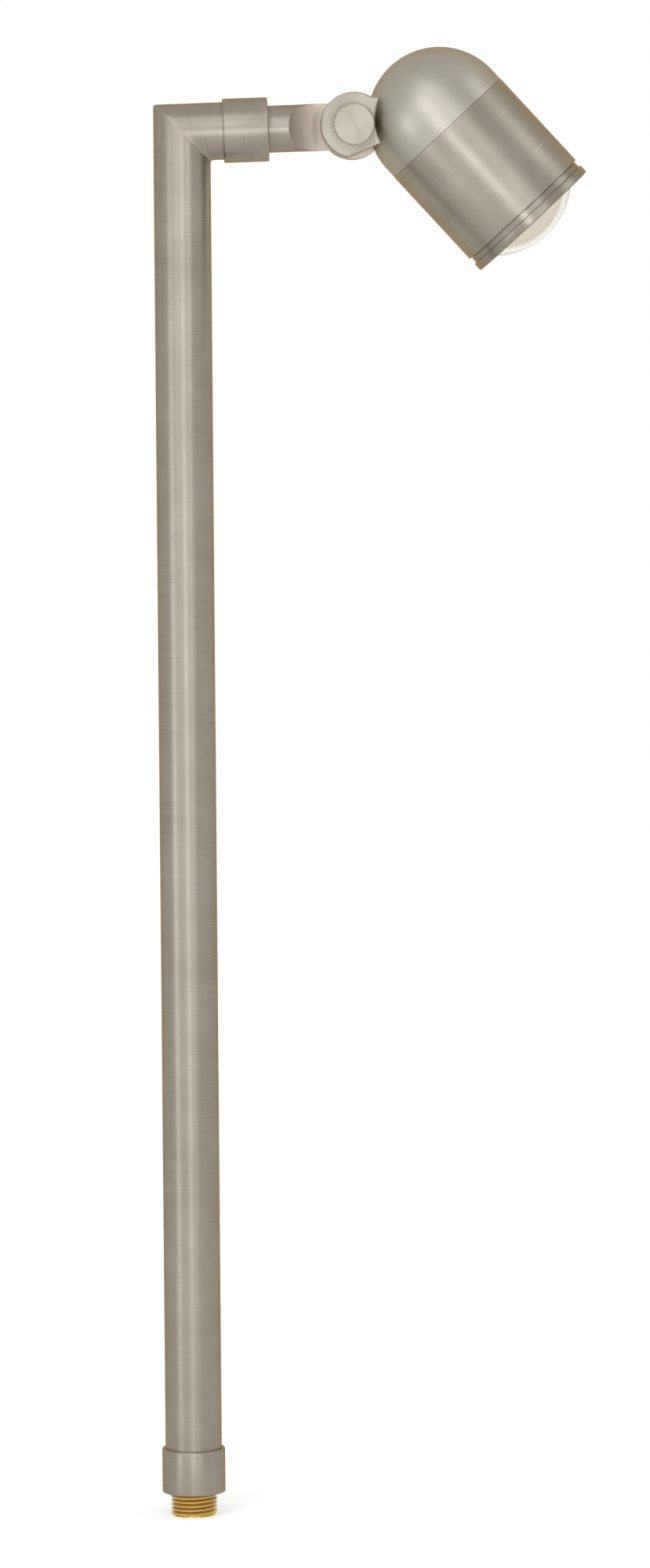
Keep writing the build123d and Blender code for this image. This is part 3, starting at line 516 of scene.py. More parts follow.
# the milled faces carry straight strokes, and the disc's rim is brushed round its own axis
to_arm = ARM.inverted()
to_pivot = PIVOT.inverted()
ramp = []
disc = []
for face in bm.faces:
    on_rod = to_arm @ face.calc_center_median()
    on_disc = to_pivot @ face.calc_center_median()
    facing = face.normal.dot(near_side)
    on_flat = facing > LEVEL_FACING and abs(on_disc.z - TONGUE_FACE) < FACE_BAND
    on_slope = facing > SLOPE_FACING and hypot(on_rod.x, on_rod.y) < ROD_RADIUS - FACE_BAND
    if on_flat or on_slope and RAMP_START < on_rod.z < RAMP_END:
        ramp.append(face)
    elif hypot(on_disc.x, on_disc.y) < LUG_RADIUS + SIDE_BAND:
        disc.append(face)
brush_round(bm, bm.faces, ARM)
brush_round(bm, disc, PIVOT)
brush_flat(bm, ramp, ARM.to_3x3() @ Vector((0, 1, 0)), arm_direction)
for face in ramp:
    face.material_index = 1
knuckle = make_piece("milled_knuckle", bm, tube_nickel, milled_nickel_painted_pale)
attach(knuckle, "knuckle")
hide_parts("knuckle")

# Rear housing: the domed half of the head, cast and turned in brass, with a lug for the tilt pivot.
# The lug runs into the dome with small fillets at its sides and its face, and a round pocket behind it takes
# the knuckle's disc.
DOME_RADIUS = 32.0 * MM
DOME_INSIDE = 29.0 * MM
DOME_SKIRT = 5.3 * MM
SEAM_EDGE = 0.12 * MM
SPIGOT_LENGTH = 9.0 * MM
SPIGOT_RADIUS = 29.1 * MM
SPIGOT_BORE = 26.1 * MM
DOME_STEPS = 40
POCKET_RADIUS = 15.3 * MM
POCKET_WALL = 18.3 * MM
BLOCK_INSET = 1.0 * MM
LUG_INNER_FACE = 2.0 * MM
LUG_OUTER_FACE = 13.4 * MM
LUG_FLAT = 12.1 * MM
LUG_FLAT_HEADING = radians(-66.8)
LUG_FILLET = 1.8 * MM
LUG_RIM = 0.7 * MM
RIM_ANGLE = radians(60)
FACE_FILLET = 1.2 * MM
FILLET_STEPS = 8
LUG_STEPS = 60
LUG_HOLE = 3.475 * MM
WASHER_SEAT = 6.5 * MM
WASHER_DEPTH = 1.0 * MM
SEAT_STEPS = 64
LUG_LEVELS = 6
LUG_SINK = 2.0 * MM
SECTOR_CUTS = 32

seam = Vector(joints["bezel_turn"]["pos_m"])
head_direction = Vector(joints["bezel_turn"]["axis"]).normalized()
HEAD = frame_at(seam, head_direction, near_side)
dome_centre = seam - head_direction * DOME_SKIRT
dome_side = (dome_centre - pivot).normalized()
dome_reach = (dome_centre - pivot).length
lug_up = dome_side.cross(near_side)
lug_up = lug_up if lug_up.z > 0 else -lug_up


def cut_sectors(bm, faces, place):
    """Cut flat faces into narrow sectors round the placement's Z, so that round strokes stay round."""
    for step in range(SECTOR_CUTS):
        angle = pi * step / SECTOR_CUTS
        geom = {part for f in faces for part in (f, *f.edges, *f.verts)}
        made = bmesh.ops.bisect_plane(
            bm, geom=list(geom), dist=MERGE, plane_co=place.translation,
            plane_no=place.to_3x3() @ Vector((cos(angle), sin(angle), 0)))
        faces = [f for f in made["geom"] if isinstance(f, bmesh.types.BMFace)]
    return faces


def dome_arc(radius):
    """Points along a quarter circle from the dome's top down to its skirt."""
    angles = [step * pi / 2 / DOME_STEPS for step in range(DOME_STEPS + 1)]
    return [(-DOME_SKIRT - radius * cos(angle), radius * sin(angle)) for angle in angles]


def lug_outline(level):
    """Points round the lug at this distance to the near side, from the dome's top round to its underside."""
    section = sqrt(DOME_RADIUS ** 2 - level ** 2)
    dome_middle = Vector((dome_reach, 0))
    # the upper fillet, round a centre that lies this far out from the pivot and up from it
    reach = LUG_RADIUS + LUG_FILLET
    out = (dome_reach ** 2 + reach ** 2 - (section + LUG_FILLET) ** 2) / (2 * dome_reach)
    up = sqrt(reach ** 2 - out ** 2)
    dome_end = atan2(-up, dome_reach - out)
    lug_end = atan2(-up, -out)
    points = []
    for step in range(FILLET_STEPS + 1):
        angle = dome_end + (lug_end - dome_end) * step / FILLET_STEPS
        points.append((out + LUG_FILLET * cos(angle), up + LUG_FILLET * sin(angle)))
    # the round end, as far as the flat on the underside
    flat_heading = LUG_FLAT_HEADING - atan2(dome_side.z, dome_side.x)
    arc_start = atan2(up, out)
    arc_end = 2 * pi + flat_heading - atan2(sqrt(LUG_RADIUS ** 2 - LUG_FLAT ** 2), LUG_FLAT)
    for step in range(1, LUG_STEPS + 1):
        angle = arc_start + (arc_end - arc_start) * step / LUG_STEPS
        points.append((LUG_RADIUS * cos(angle), LUG_RADIUS * sin(angle)))
    # the flat, as far as the dome, and the way back inside the dome's wall
    foot = Vector((cos(flat_heading), sin(flat_heading))) * LUG_FLAT
    run = Vector((-sin(flat_heading), cos(flat_heading)))
    offset = foot - dome_middle
    lead = offset.dot(run)
    stop = foot + run * (-lead - sqrt(lead * lead - offset.length_squared + section ** 2))
    points.append(tuple(stop))
    for spot in (Vector(points[-1]), Vector(points[0])):
        points.append(tuple(dome_middle + (spot - dome_middle) * (1 - LUG_SINK / section)))
    return [pivot + dome_side * x + lug_up * y + near_side * level for x, y in points]


# the dome is brushed more softly than the tubes, so its highlights are rounder and its lines fainter, and
# its colour is painted paler than the housing's as a highlight for the light it catches
dome_nickel_painted_pale = brushed_nickel(
    "satin_nickel_dome_painted_pale", "#a8a397", "#9c978c", stroke=50 * MM, line=0.6 * MM, roughness=0.44, stretch=0.4,
    relief=0.003 * MM)
# a face turned in the lathe has unbroken rings, which fan the light out from its centre
turned_nickel = brushed_nickel(
    "turned_nickel_face", "#a29c90", "#8f887b", stroke=0, line=0.35 * MM, roughness=0.40, stretch=0.75,
    relief=0.006 * MM)
# the shell with its spigot, and the walled pocket for the knuckle's disc
outline = dome_arc(DOME_RADIUS)
outline += [
    (-SEAM_EDGE, DOME_RADIUS), (0, DOME_RADIUS - SEAM_EDGE), (0, SPIGOT_RADIUS),
    (SPIGOT_LENGTH, SPIGOT_RADIUS), (SPIGOT_LENGTH, SPIGOT_BORE), (-DOME_SKIRT, SPIGOT_BORE)]
outline += reversed(dome_arc(DOME_INSIDE))
bm = placed(turned(outline, closed=False), HEAD)
block = placed(plug(POCKET_WALL, -DOME_RADIUS, DOME_RADIUS), PIVOT)
filling = turned(dome_arc(DOME_RADIUS - BLOCK_INSET) + [(-DOME_SKIRT, 0)], closed=False)
block = combine(block, placed(filling, HEAD), "INTERSECT")
bm = combine(bm, block, "UNION")
bm = combine(bm, placed(plug(POCKET_RADIUS, -2 * DOME_RADIUS, LUG_INNER_FACE), PIVOT), "DIFFERENCE")
# the lug, built up level by level as far as its fillet reaches, and then faced round that fillet
fillet_height = LUG_OUTER_FACE + FACE_FILLET
fillet_ring = sqrt((DOME_RADIUS + FACE_FILLET) ** 2 - fillet_height ** 2)
fillet_end = atan2(fillet_height, fillet_ring)
fillet_top = fillet_height - FACE_FILLET * sin(fillet_end)
lug = bmesh.new()
loops = []
for step in range(LUG_LEVELS + 1):
    level = LUG_INNER_FACE + (fillet_top - LUG_INNER_FACE) * step / LUG_LEVELS
    ring = [lug.verts.new(spot) for spot in lug_outline(level)]
    loops.append([lug.edges.new(pair) for pair in zip(ring, ring[1:] + ring[:1])])
for lower_loop, upper_loop in zip(loops, loops[1:]):
    bmesh.ops.bridge_loops(lug, edges=lower_loop + upper_loop)
for loop in (loops[0], loops[-1]):
    bmesh.ops.contextual_create(lug, geom=loop)
bmesh.ops.recalc_face_normals(lug, faces=lug.faces)
outside = fillet_ring + 2 * DOME_RADIUS
outline = [(fillet_height + CUT_ROOM, outside), (LUG_OUTER_FACE, outside)]
for step in range(FILLET_STEPS + 1):
    angle = -pi / 2 - (pi / 2 - fillet_end) * step / FILLET_STEPS
    outline.append((fillet_height + FACE_FILLET * sin(angle), fillet_ring + FACE_FILLET * cos(angle)))
outline.append((fillet_height + CUT_ROOM, outline[-1][1]))
lug = combine(lug, placed(turned(outline), frame_at(dome_centre, near_side, arm_direction)), "DIFFERENCE")
# the rim of the lug's face is rounded, and its hole and the washer's seat are drilled
rim = []
for edge in lug.edges:
    spots = [to_pivot @ v.co for v in edge.verts]
    on_face = all(abs(q.z - LUG_OUTER_FACE) < PICK and hypot(q.x, q.y) < LUG_RADIUS + PICK for q in spots)
    if on_face and len(edge.link_faces) == 2 and edge.calc_face_angle() > RIM_ANGLE:
        rim.append(edge)
bmesh.ops.bevel(
    lug, geom=rim, offset=LUG_RIM, offset_type="OFFSET", segments=RIM_STEPS, profile=0.5, affect="EDGES",
    material=-1)
bm = combine(bm, lug, "UNION")
lug_hole = plug(LUG_HOLE, 0, LUG_OUTER_FACE + MM, HOLE_STEPS)
bm = combine(bm, placed(lug_hole, PIVOT), "DIFFERENCE")
washer_seat = plug(WASHER_SEAT, LUG_OUTER_FACE - WASHER_DEPTH, LUG_OUTER_FACE + MM, SEAT_STEPS)
bm = combine(bm, placed(washer_seat, PIVOT), "DIFFERENCE")
bmesh.ops.recalc_face_normals(bm, faces=bm.faces)
# the lug is turned and brushed round the pivot, and the dome round the head's axis
face_of_lug = []
side_of_lug = []
for face in bm.faces:
    middle = face.calc_center_median()
    spot = to_pivot @ middle
    on_dome = abs((middle - dome_centre).length - DOME_RADIUS) < SIDE_BAND
    beside_lug = hypot(spot.x, spot.y) > LUG_RADIUS + SIDE_BAND or spot.z < LUG_INNER_FACE - SIDE_BAND
    if on_dome or beside_lug:
        continue
    if face.normal.dot(near_side) > LEVEL_FACING and spot.z > LUG_OUTER_FACE - SIDE_BAND:
        face_of_lug.append(face)
    else:
        side_of_lug.append(face)
face_of_lug = cut_sectors(bm, face_of_lug, PIVOT)
brush_round(bm, bm.faces, HEAD)
brush_round(bm, side_of_lug, PIVOT)
brush_round(bm, face_of_lug, PIVOT)
for face in face_of_lug:
    face.material_index = 1
rear_housing = make_piece("domed_rear_housing", bm, dome_nickel_painted_pale, turned_nickel)
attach(rear_housing, "head")
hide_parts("rear_housing")

# Front housing: the tube half of the head, turned from brass tube and brushed round.
# It screws over the dome's spigot, and the joint shows as a fine line.
FRONT_LENGTH = 49.25 * MM
FRONT_RADIUS = 32.15 * MM
FRONT_BORE = 29.15 * MM
# the housing is brushed with longer strokes than the stem, so its fine lines run further round it
housing_nickel = brushed_nickel(
    "brushed_nickel_housing", "#9b9488", "#898376", stroke=45 * MM, line=0.45 * MM, roughness=0.40,
    stretch=0.6, relief=0.008 * MM)
bm = turned([(0, FRONT_BORE), (0, FRONT_RADIUS), (FRONT_LENGTH, FRONT_RADIUS), (FRONT_LENGTH, FRONT_BORE)])
round_rims(bm, SEAM_EDGE, (0, FRONT_RADIUS), (FRONT_LENGTH, FRONT_RADIUS))
bm.transform(HEAD)
brush_round(bm, bm.faces, HEAD)
front_housing = make_piece("tube_front_housing", bm, housing_nickel)
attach(front_housing, "head")
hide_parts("front_housing")

# Lens bezel: a turned ring that screws into the front housing past a narrow neck groove.
# Its lip holds the lens in front, and a spring ring holds it from behind. Its rims are lightly rounded.
BEZEL_BACK = 41.25 * MM
NECK_GAP = 0.35 * MM
NECK_RADIUS = 31.15 * MM
FLANGE_BACK = 52.3 * MM
FLANGE_FRONT = 56.2 * MM
BEZEL_EDGE = 0.48 * MM
LIP_RADIUS = 22.95 * MM
LIP_BACK = 54.4 * MM
LENS_SEAT = 26.25 * MM
bm = turned([
    (BEZEL_BACK, LENS_SEAT), (BEZEL_BACK, SPIGOT_RADIUS), (FRONT_LENGTH + NECK_GAP, SPIGOT_RADIUS),
    (FRONT_LENGTH + NECK_GAP, NECK_RADIUS), (FLANGE_BACK, NECK_RADIUS), (FLANGE_BACK, FRONT_RADIUS),
    (FLANGE_FRONT, FRONT_RADIUS), (FLANGE_FRONT, LIP_RADIUS), (LIP_BACK, LIP_RADIUS), (LIP_BACK, LENS_SEAT)])
round_rims(
    bm, BEZEL_EDGE, (FLANGE_BACK, FRONT_RADIUS), (FLANGE_FRONT, FRONT_RADIUS), (FLANGE_FRONT, LIP_RADIUS))
bm.transform(HEAD)
brush_round(bm, bm.faces, HEAD)
# the bezel is left closer to the lathe finish, so it is a little glossier than the housing, and its colour
# is painted a little darker as shade
bezel_nickel_painted_dark = brushed_nickel(
    "turned_nickel_bezel_painted_dark", "#918a7e", "#837c6f", stroke=45 * MM, line=0.45 * MM, roughness=0.36,
    stretch=0.7, relief=0.005 * MM)
bezel = make_piece("turned_lens_bezel", bm, bezel_nickel_painted_dark)
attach(bezel, "bezel")
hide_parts("lens_bezel")

# Glass lens: pressed clear borosilicate, domed in front and hollow behind, with a rim for the gasket.
# It lies in the bezel under the lip, and its front stands proud of it.
LENS_RADIUS = 22.7 * MM
LENS_APEX = 64.9 * MM
LENS_RIM = 26.0 * MM
LENS_BACK = 50.4 * MM
LENS_SHOULDER = 53.4 * MM
LENS_WALL = 3.0 * MM
LENS_STEPS = 24
MOULD_WAVE = 9 * MM
GLASS_IOR = 1.47


def clear_glass(name, tint):
    """Pressed borosilicate: clear with a faint tint, and slow waves from the mould bend what shows in it."""
    material, tree, shader = start_material(name)
    waves = fixed_noise(tree, MOULD_WAVE, detail=1.0)
    bump = add_node(tree, "ShaderNodeBump", {"Height": waves, "Strength": 0.4, "Distance": 0.05 * MM})
    tree.links.new(bump.outputs["Normal"], shader.inputs["Normal"])
    shader.inputs["Base Color"].default_value = linear(tint)
    shader.inputs["Roughness"].default_value = 0.0
    shader.inputs["IOR"].default_value = GLASS_IOR
    shader.inputs["Transmission Weight"].default_value = 1.0
    return material


def cap(apex, radius, height):
    """Points along a round cap from its apex out to its rim."""
    curve = (radius ** 2 + height ** 2) / (2 * height)
    spread = atan2(radius, curve - height) / LENS_STEPS
    turns = [spread * step for step in range(LENS_STEPS + 1)]
    return [(apex - curve + curve * cos(turn), curve * sin(turn)) for turn in turns]


cap_height = LENS_APEX - FLANGE_FRONT
hollow_radius = LENS_RADIUS - LENS_WALL
outline = cap(LENS_APEX, LENS_RADIUS, cap_height)
outline += [
    (LENS_SHOULDER, LENS_RADIUS), (LENS_SHOULDER, LENS_RIM), (LENS_BACK, LENS_RIM),
    (LENS_BACK, hollow_radius)]
outline += reversed(cap(LENS_APEX - LENS_WALL, hollow_radius, cap_height))
bm = placed(turned(outline, closed=False), HEAD)
lens = make_piece("domed_glass_lens", bm, clear_glass("pressed_borosilicate", "#f0e9dc"))
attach(lens, "bezel")
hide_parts("glass_lens")

# Thumb screw: a turned brass knob with a knurled rim and a shank in one piece, nickel plated. The shank
# goes through the lug into the knuckle's disc, and the knob clamps the lug against it over a washer.
KNOB_RADIUS = 9.1 * MM
KNOB_BACK = 13.5 * MM
KNOB_FRONT = 18.5 * MM
KNOB_EDGE = 0.5 * MM
KNURL_TEETH = 50
KNURL_DEPTH = 0.35 * MM
POINTS_PER_TOOTH = 3
SHANK_RADIUS = 3.175 * MM
SHANK_END = -10.0 * MM
FACE_RINGS = (0.85, 0.65, 0.45, 0.28, 0.12)
knob_points = POINTS_PER_TOOTH * KNURL_TEETH
# the knob from its back rim over the knurl to the middle of its face, and the shank behind it
bm = bmesh.new()
circle = bmesh.ops.create_circle(
    bm, radius=KNOB_RADIUS - KNOB_EDGE, segments=knob_points, matrix=Matrix.Translation((0, 0, KNOB_BACK)))
back_edges = list({e for v in circle["verts"] for e in v.link_edges})
front_edges = widen(bm, back_edges, radius=KNOB_RADIUS, along=KNOB_BACK + KNOB_EDGE)
front_edges = widen(bm, front_edges, along=KNOB_FRONT - KNOB_EDGE)
front_edges = widen(bm, front_edges, radius=KNOB_RADIUS - KNOB_EDGE, along=KNOB_FRONT)
for share in FACE_RINGS:
    front_edges = widen(bm, front_edges, radius=KNOB_RADIUS * share)
bmesh.ops.contextual_create(bm, geom=front_edges)
back_edges = widen(bm, back_edges, radius=SHANK_RADIUS)
back_edges = widen(bm, back_edges, along=SHANK_END)
bmesh.ops.contextual_create(bm, geom=back_edges)
# one groove to each tooth of the knurl
for v in bm.verts:
    if hypot(v.co.x, v.co.y) > KNOB_RADIUS - PICK:
        point = round(atan2(v.co.y, v.co.x) / (2 * pi) * knob_points)
        if point % POINTS_PER_TOOTH == 0:
            factor = 1 - KNURL_DEPTH / KNOB_RADIUS
            v.co.x *= factor
            v.co.y *= factor
bmesh.ops.recalc_face_normals(bm, faces=bm.faces)
knob_face = [
    f for f in bm.faces
    if abs(f.normal.z) > LEVEL_FACING and f.calc_center_median().z > KNOB_FRONT - SIDE_BAND]
bm.transform(PIVOT)
brush_round(bm, bm.faces, PIVOT)
for face in knob_face:
    face.material_index = 1
# a knurl is pressed, not brushed; the rim and the shank are painted paler than the plate, a painted
# highlight that lightens the knob's dark reflection in the dome beside it
knurl_nickel_painted_pale = brushed_nickel(
    "knurl_nickel_painted_pale", "#c9c3b7", "#aaa396", stroke=30 * MM, line=0.45 * MM, roughness=0.36, stretch=0.4,
    relief=0.004 * MM)
thumb_screw = make_piece("knurled_thumb_screw", bm, knurl_nickel_painted_pale, turned_nickel)
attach(thumb_screw, "thumb_screw")
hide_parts("thumb_screw")

# Lamp: a 50 mm reflector lamp. Its pressed glass bowl is faceted and coated with a bright mirror film.
# A quartz capsule stands in the bowl, a flat cover glass closes it, and a ceramic base carries its pins.
LAMP_FRONT = 40.75 * MM
LAMP_RADIUS = 25.2 * MM
LAMP_RIM = 2.5 * MM
LAMP_WALL = 1.3 * MM
BOWL_BACK = 12.75 * MM
BOWL_NECK = 8.5 * MM
COVER_THICKNESS = 1.5 * MM
BOWL_FACETS = 40
BOWL_ROWS = 9
BOWL_SWELL = 0.18
HAZE_SIZE = 2 * MM
CERAMIC_CLOUD = 4 * MM
CERAMIC_GRAIN = 0.3 * MM


def mirror_film(name):
    """A thin bright film on pressed glass: a clean mirror, cool, with a faint haze from the mould."""
    material, tree, shader = start_material(name)
    haze = fixed_noise(tree, HAZE_SIZE, detail=2.0)
    rough = add_node(tree, "ShaderNodeMapRange", {
        "Value": haze, "From Min": 0.3, "From Max": 0.7, "To Min": 0.06, "To Max": 0.14})
    tree.links.new(rough.outputs["Result"], shader.inputs["Roughness"])
    shader.inputs["Base Color"].default_value = linear("#e8e8ec")
    shader.inputs["Metallic"].default_value = 1.0
    return material


def bowl_side(wall, start, end):
    """Points along one swollen side of the bowl, drawn in by this wall at its middle."""
    points = []
    for step in range(BOWL_ROWS + 1):
        t = step / BOWL_ROWS
        swell = sin(pi * t) * BOWL_SWELL
        points.append((
            start[0] + (end[0] - start[0]) * t - abs(end[1] - start[1]) * swell,
            start[1] + (end[1] - start[1]) * t + abs(end[0] - start[0]) * swell - wall * sin(pi * t)))
    return points


bowl_radius = LAMP_RADIUS - LAMP_WALL
rim_back = LAMP_FRONT - LAMP_RIM
cover_back = LAMP_FRONT - COVER_THICKNESS
floor_front = BOWL_BACK + LAMP_WALL
outline = bowl_side(0.0, (BOWL_BACK, BOWL_NECK), (rim_back, bowl_radius))
outline += [
    (rim_back, LAMP_RADIUS), (LAMP_FRONT, LAMP_RADIUS), (LAMP_FRONT, bowl_radius), (cover_back, bowl_radius)]
outline += bowl_side(LAMP_WALL, (cover_back, bowl_radius - LAMP_WALL), (floor_front, BOWL_NECK))
outline += [(floor_front, BOWL_NECK - LAMP_WALL), (BOWL_BACK, BOWL_NECK - LAMP_WALL)]
bm = placed(turned(outline, BOWL_FACETS), HEAD)
reflector = make_piece("faceted_reflector", bm, mirror_film("mirror_film_on_glass"))
reflector.data.shade_flat()
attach(reflector, "head")
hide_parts("lamp_reflector")


def fired_ceramic(name):
    """Steatite: dense white ceramic, dry to the eye, with a fine grain and faint cream clouds.

    The real grain is too fine to show, so it is drawn coarser.
    """
    material, tree, shader = start_material(name)
    colour = blend(tree, fixed_noise(tree, CERAMIC_CLOUD, detail=3.0), "#e2dccd", "#f0ece2")
    grain = fixed_noise(tree, CERAMIC_GRAIN, detail=1.0)
    bump = add_node(tree, "ShaderNodeBump", {"Height": grain, "Strength": 0.5, "Distance": 0.02 * MM})
    tree.links.new(colour, shader.inputs["Base Color"])
    tree.links.new(bump.outputs["Normal"], shader.inputs["Normal"])
    shader.inputs["Roughness"].default_value = 0.6
    return material


def dress(material, *names):
    """Give CAD solids that keep their shape a material."""
    for name in names:
        mesh = frame["nodes"][name].data
        mesh.materials.clear()
        mesh.materials.append(material)


dress(clear_glass("flat_cover_glass", "#f7f9f6"), "lamp_cover_glass", "lamp_capsule")
dress(fired_ceramic("fired_steatite"), "lamp_base", "lamp_holder")
dress(brass, "lamp_pins")

# Fixings: the pivot's washer, the lens retaining ring, the lamp holder's bracket and the small screws.
# All are stamped or turned from mild steel and zinc plated, so they are pale grey with a soft gloss.
MOTTLE_SIZE = 1.5 * MM


def zinc_plate(name):
    """Bright zinc on steel: pale cool grey with a soft gloss and faint mottling from the bath."""
    material, tree, shader = start_material(name)
    mottle = fixed_noise(tree, MOTTLE_SIZE, detail=3.0)
    colour = blend(tree, mottle, "#a3a4a3", "#c2c3c1")
    rough = add_node(tree, "ShaderNodeMapRange", {
        "Value": mottle, "From Min": 0.3, "From Max": 0.7, "To Min": 0.3, "To Max": 0.42})
    tree.links.new(colour, shader.inputs["Base Color"])
    tree.links.new(rough.outputs["Result"], shader.inputs["Roughness"])
    shader.inputs["Metallic"].default_value = 1.0
    return material


dress(zinc_plate("zinc_plated_steel"),
      "pivot_washer", "lens_retainer", "holder_bracket", "holder_screws", "bracket_screws")

# Seals, grommets and leads: moulded black rubber rings and plugs, and leads in black silicone sleeve.
# The rubber is matt with a fine mould grain, and the sleeve has a low sheen.
SHEEN_SWING = 0.08


def black_elastomer(name, colour_code, grain_size, roughness):
    """Carbon-filled rubber: near black, matt or with a low sheen, and grained by the mould or die.

    The real grain is too fine to show, so it is drawn coarser.
    """
    material, tree, shader = start_material(name)
    grain = fixed_noise(tree, grain_size, detail=3.0)
    rough = add_node(tree, "ShaderNodeMapRange", {
        "Value": grain, "From Min": 0.3, "From Max": 0.7,
        "To Min": roughness - SHEEN_SWING, "To Max": roughness + SHEEN_SWING})
    bump = add_node(tree, "ShaderNodeBump", {"Height": grain, "Strength": 0.5, "Distance": 0.02 * MM})
    tree.links.new(rough.outputs["Result"], shader.inputs["Roughness"])
    tree.links.new(bump.outputs["Normal"], shader.inputs["Normal"])
    shader.inputs["Base Color"].default_value = linear(colour_code)
    return material


dress(black_elastomer("moulded_black_rubber", "#1f1f1f", grain_size=0.4 * MM, roughness=0.68),
      "wire_grommet", "swivel_o_ring", "pivot_o_ring", "housing_o_ring", "bezel_o_ring", "lens_gasket",
      "lead_grommet")
dress(black_elastomer("extruded_silicone_sleeve", "#242423", grain_size=0.8 * MM, roughness=0.45),
      "stem_leads", "knuckle_leads", "head_leads")

# Floor: a sheet of pale paper, which shows white to the camera and keeps the soft shadow of the foot.
# The lamps reach its far parts less, so its glow to the camera grows with the distance from the foot.
FLOOR_SIZE = 4.0
NEAR_GLOW = 0.36
FAR_GLOW = 0.47
NEAR_REACH = 0.3
FAR_REACH = 2.2


def seen_directly(tree):
    """One for rays from the camera and for those that metal or glass sends on, and none for the rest."""
    path = add_node(tree, "ShaderNodeLightPath")
    seen = add_node(tree, "ShaderNodeMath", {
        0: path.outputs["Is Camera Ray"], 1: path.outputs["Is Glossy Ray"]}, operation="MAXIMUM")
    shown = add_node(tree, "ShaderNodeMath", {
        0: seen.outputs["Value"], 1: path.outputs["Is Transmission Ray"]}, operation="MAXIMUM")
    return shown.outputs["Value"]


floor_material, tree, shader = start_material("pale_floor")
shader.inputs["Base Color"].default_value = linear("#f2f2f0")
shader.inputs["Roughness"].default_value = 0.9
shader.inputs["Specular IOR Level"].default_value = 0.0
coordinates = add_node(tree, "ShaderNodeTexCoord")
distance = add_node(tree, "ShaderNodeVectorMath", {0: coordinates.outputs["Object"]}, operation="LENGTH")
reach_glow = add_node(tree, "ShaderNodeMapRange", {
    "Value": distance.outputs["Value"], "From Min": NEAR_REACH, "From Max": FAR_REACH,
    "To Min": NEAR_GLOW, "To Max": FAR_GLOW})
glow = add_node(tree, "ShaderNodeMath", {
    0: seen_directly(tree), 1: reach_glow.outputs["Result"]}, operation="MULTIPLY")
tree.links.new(glow.outputs["Value"], shader.inputs["Emission Strength"])
shader.inputs["Emission Color"].default_value = (1, 1, 1, 1)
bm = bmesh.new()
bmesh.ops.create_grid(
    bm, x_segments=1, y_segments=1, size=FLOOR_SIZE, matrix=Matrix.Translation((0, 0, cad_box[0].z)))
floor = make_piece("floor", bm, floor_material)

# Light: a white room with soft boxes and strips on the camera's side. The key box, up to the left, and a low
# strip that leans in front draw the main streaks, a strip to the right draws a second one, and the rest fill
# in. Each faces the stem at its own height, or the head if it hangs higher.
AMBIENT = 0.6
AIM_X = 0.06
AIM_TOP = 0.6
world = bpy.data.worlds.new("white_room")
bpy.context.scene.world = world
world.use_nodes = True
tree = world.node_tree
level = add_node(tree, "ShaderNodeMapRange", {
    "Value": seen_directly(tree), "To Min": AMBIENT, "To Max": 1.0})
background = tree.nodes["Background"]
background.inputs["Color"].default_value = (1, 1, 1, 1)
tree.links.new(level.outputs["Result"], background.inputs["Strength"])
light_colour = linear("#f4f6ff")[:3]
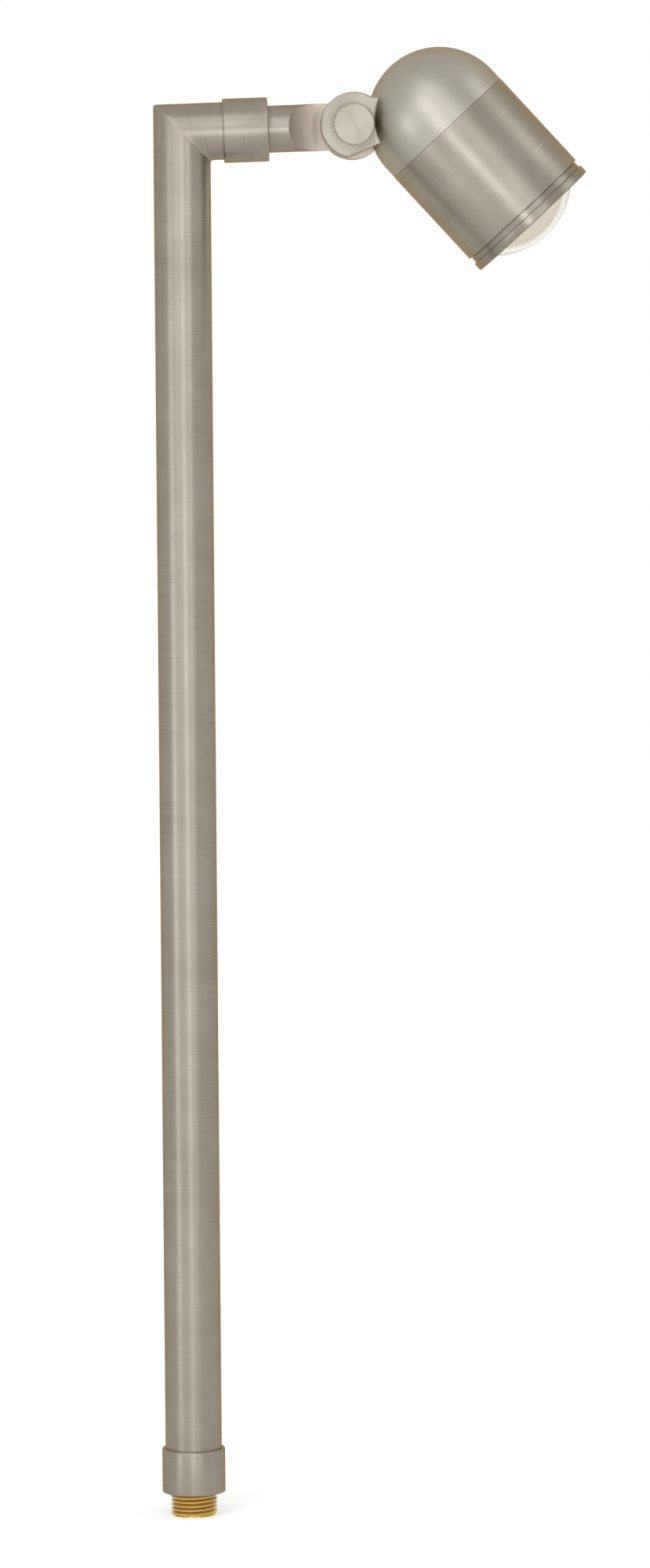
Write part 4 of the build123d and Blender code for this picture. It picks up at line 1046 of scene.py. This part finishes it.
# top and foot are the bearing, from the camera's side and positive to the right, and the height of each end
for name, reach, top, foot, width, brightness in (
    ("key_soft_box", 2.1, (-24, 1.80), (-24, 1.15), 0.60, 6.0),
    ("low_strip", 2.1, (-8, 0.62), (4, 0.12), 0.22, 13.0),
    ("left_soft_box", 2.0, (-38, 1.60), (-38, 0.10), 1.10, 0.6),
    ("left_low_strip", 1.9, (-50, 0.45), (-54, 0.02), 0.40, 6.5),
    ("right_strip", 1.9, (26, 1.25), (18, 0.25), 0.24, 5.0),
    ("right_top_soft_box", 1.9, (80, 2.50), (80, 1.70), 1.00, 2.5),
    ("front_top_soft_box", 1.3, (-20, 2.20), (-20, 1.90), 1.20, 4.0),
    ("wide_top_soft_box", 2.1, (-12, 2.59), (12, 1.42), 0.80, 1.0),
):
    ends = [
        Vector((sin(radians(bearing)) * reach, -cos(radians(bearing)) * reach, height))
        for bearing, height in (top, foot)]
    middle = (ends[0] + ends[1]) / 2
    along = (ends[0] - ends[1]).normalized()
    aim = Vector((AIM_X, 0, min(middle.z, AIM_TOP)))
    outward = (middle - aim - along * (middle - aim).dot(along)).normalized()
    lamp = bpy.data.lights.new(name, "AREA")
    lamp.shape = "RECTANGLE"
    lamp.size = width
    lamp.size_y = (ends[0] - ends[1]).length
    lamp.energy = brightness * pi * lamp.size * lamp.size_y
    lamp.color = light_colour
    holder = bpy.data.objects.new(name, lamp)
    holder.visible_transmission = False
    bpy.context.scene.collection.objects.link(holder)
    holder.matrix_world = Matrix.Translation(middle) @ Matrix(
        (along.cross(outward), along, outward)).transposed().to_4x4()

# Camera: a long lens below the arm's height, almost square to the arm and tilted down a little.
VIEW_BEARING = radians(-1.664)
VIEW_RISE = radians(3.790)
VIEW_ROLL = radians(-0.425)
VIEW_DISTANCE = 2.5139
VIEW_TARGET = Vector((0.06144, 0, 0.31911))
FOCAL_PIXELS = 7161.1
IMAGE_HEIGHT = 2000
SENSOR_WIDTH = 36
FAR_CLIP = 20
camera_data = bpy.data.cameras.new("camera")
camera_data.sensor_width = SENSOR_WIDTH
camera_data.lens = FOCAL_PIXELS * SENSOR_WIDTH / IMAGE_HEIGHT
camera_data.clip_end = FAR_CLIP
camera = bpy.data.objects.new("camera", camera_data)
bpy.context.scene.collection.objects.link(camera)
back = Vector((sin(VIEW_BEARING) * cos(VIEW_RISE), -cos(VIEW_BEARING) * cos(VIEW_RISE), sin(VIEW_RISE)))
level_right = stem_direction.cross(back).normalized()
level_up = back.cross(level_right)
right = level_right * cos(VIEW_ROLL) + level_up * sin(VIEW_ROLL)
up = level_up * cos(VIEW_ROLL) - level_right * sin(VIEW_ROLL)
camera.matrix_world = Matrix.Translation(VIEW_TARGET + back * VIEW_DISTANCE) @ Matrix(
    (right, up, back)).transposed().to_4x4()
bpy.context.scene.camera = camera
bpy.context.scene.view_settings.view_transform = "Standard"
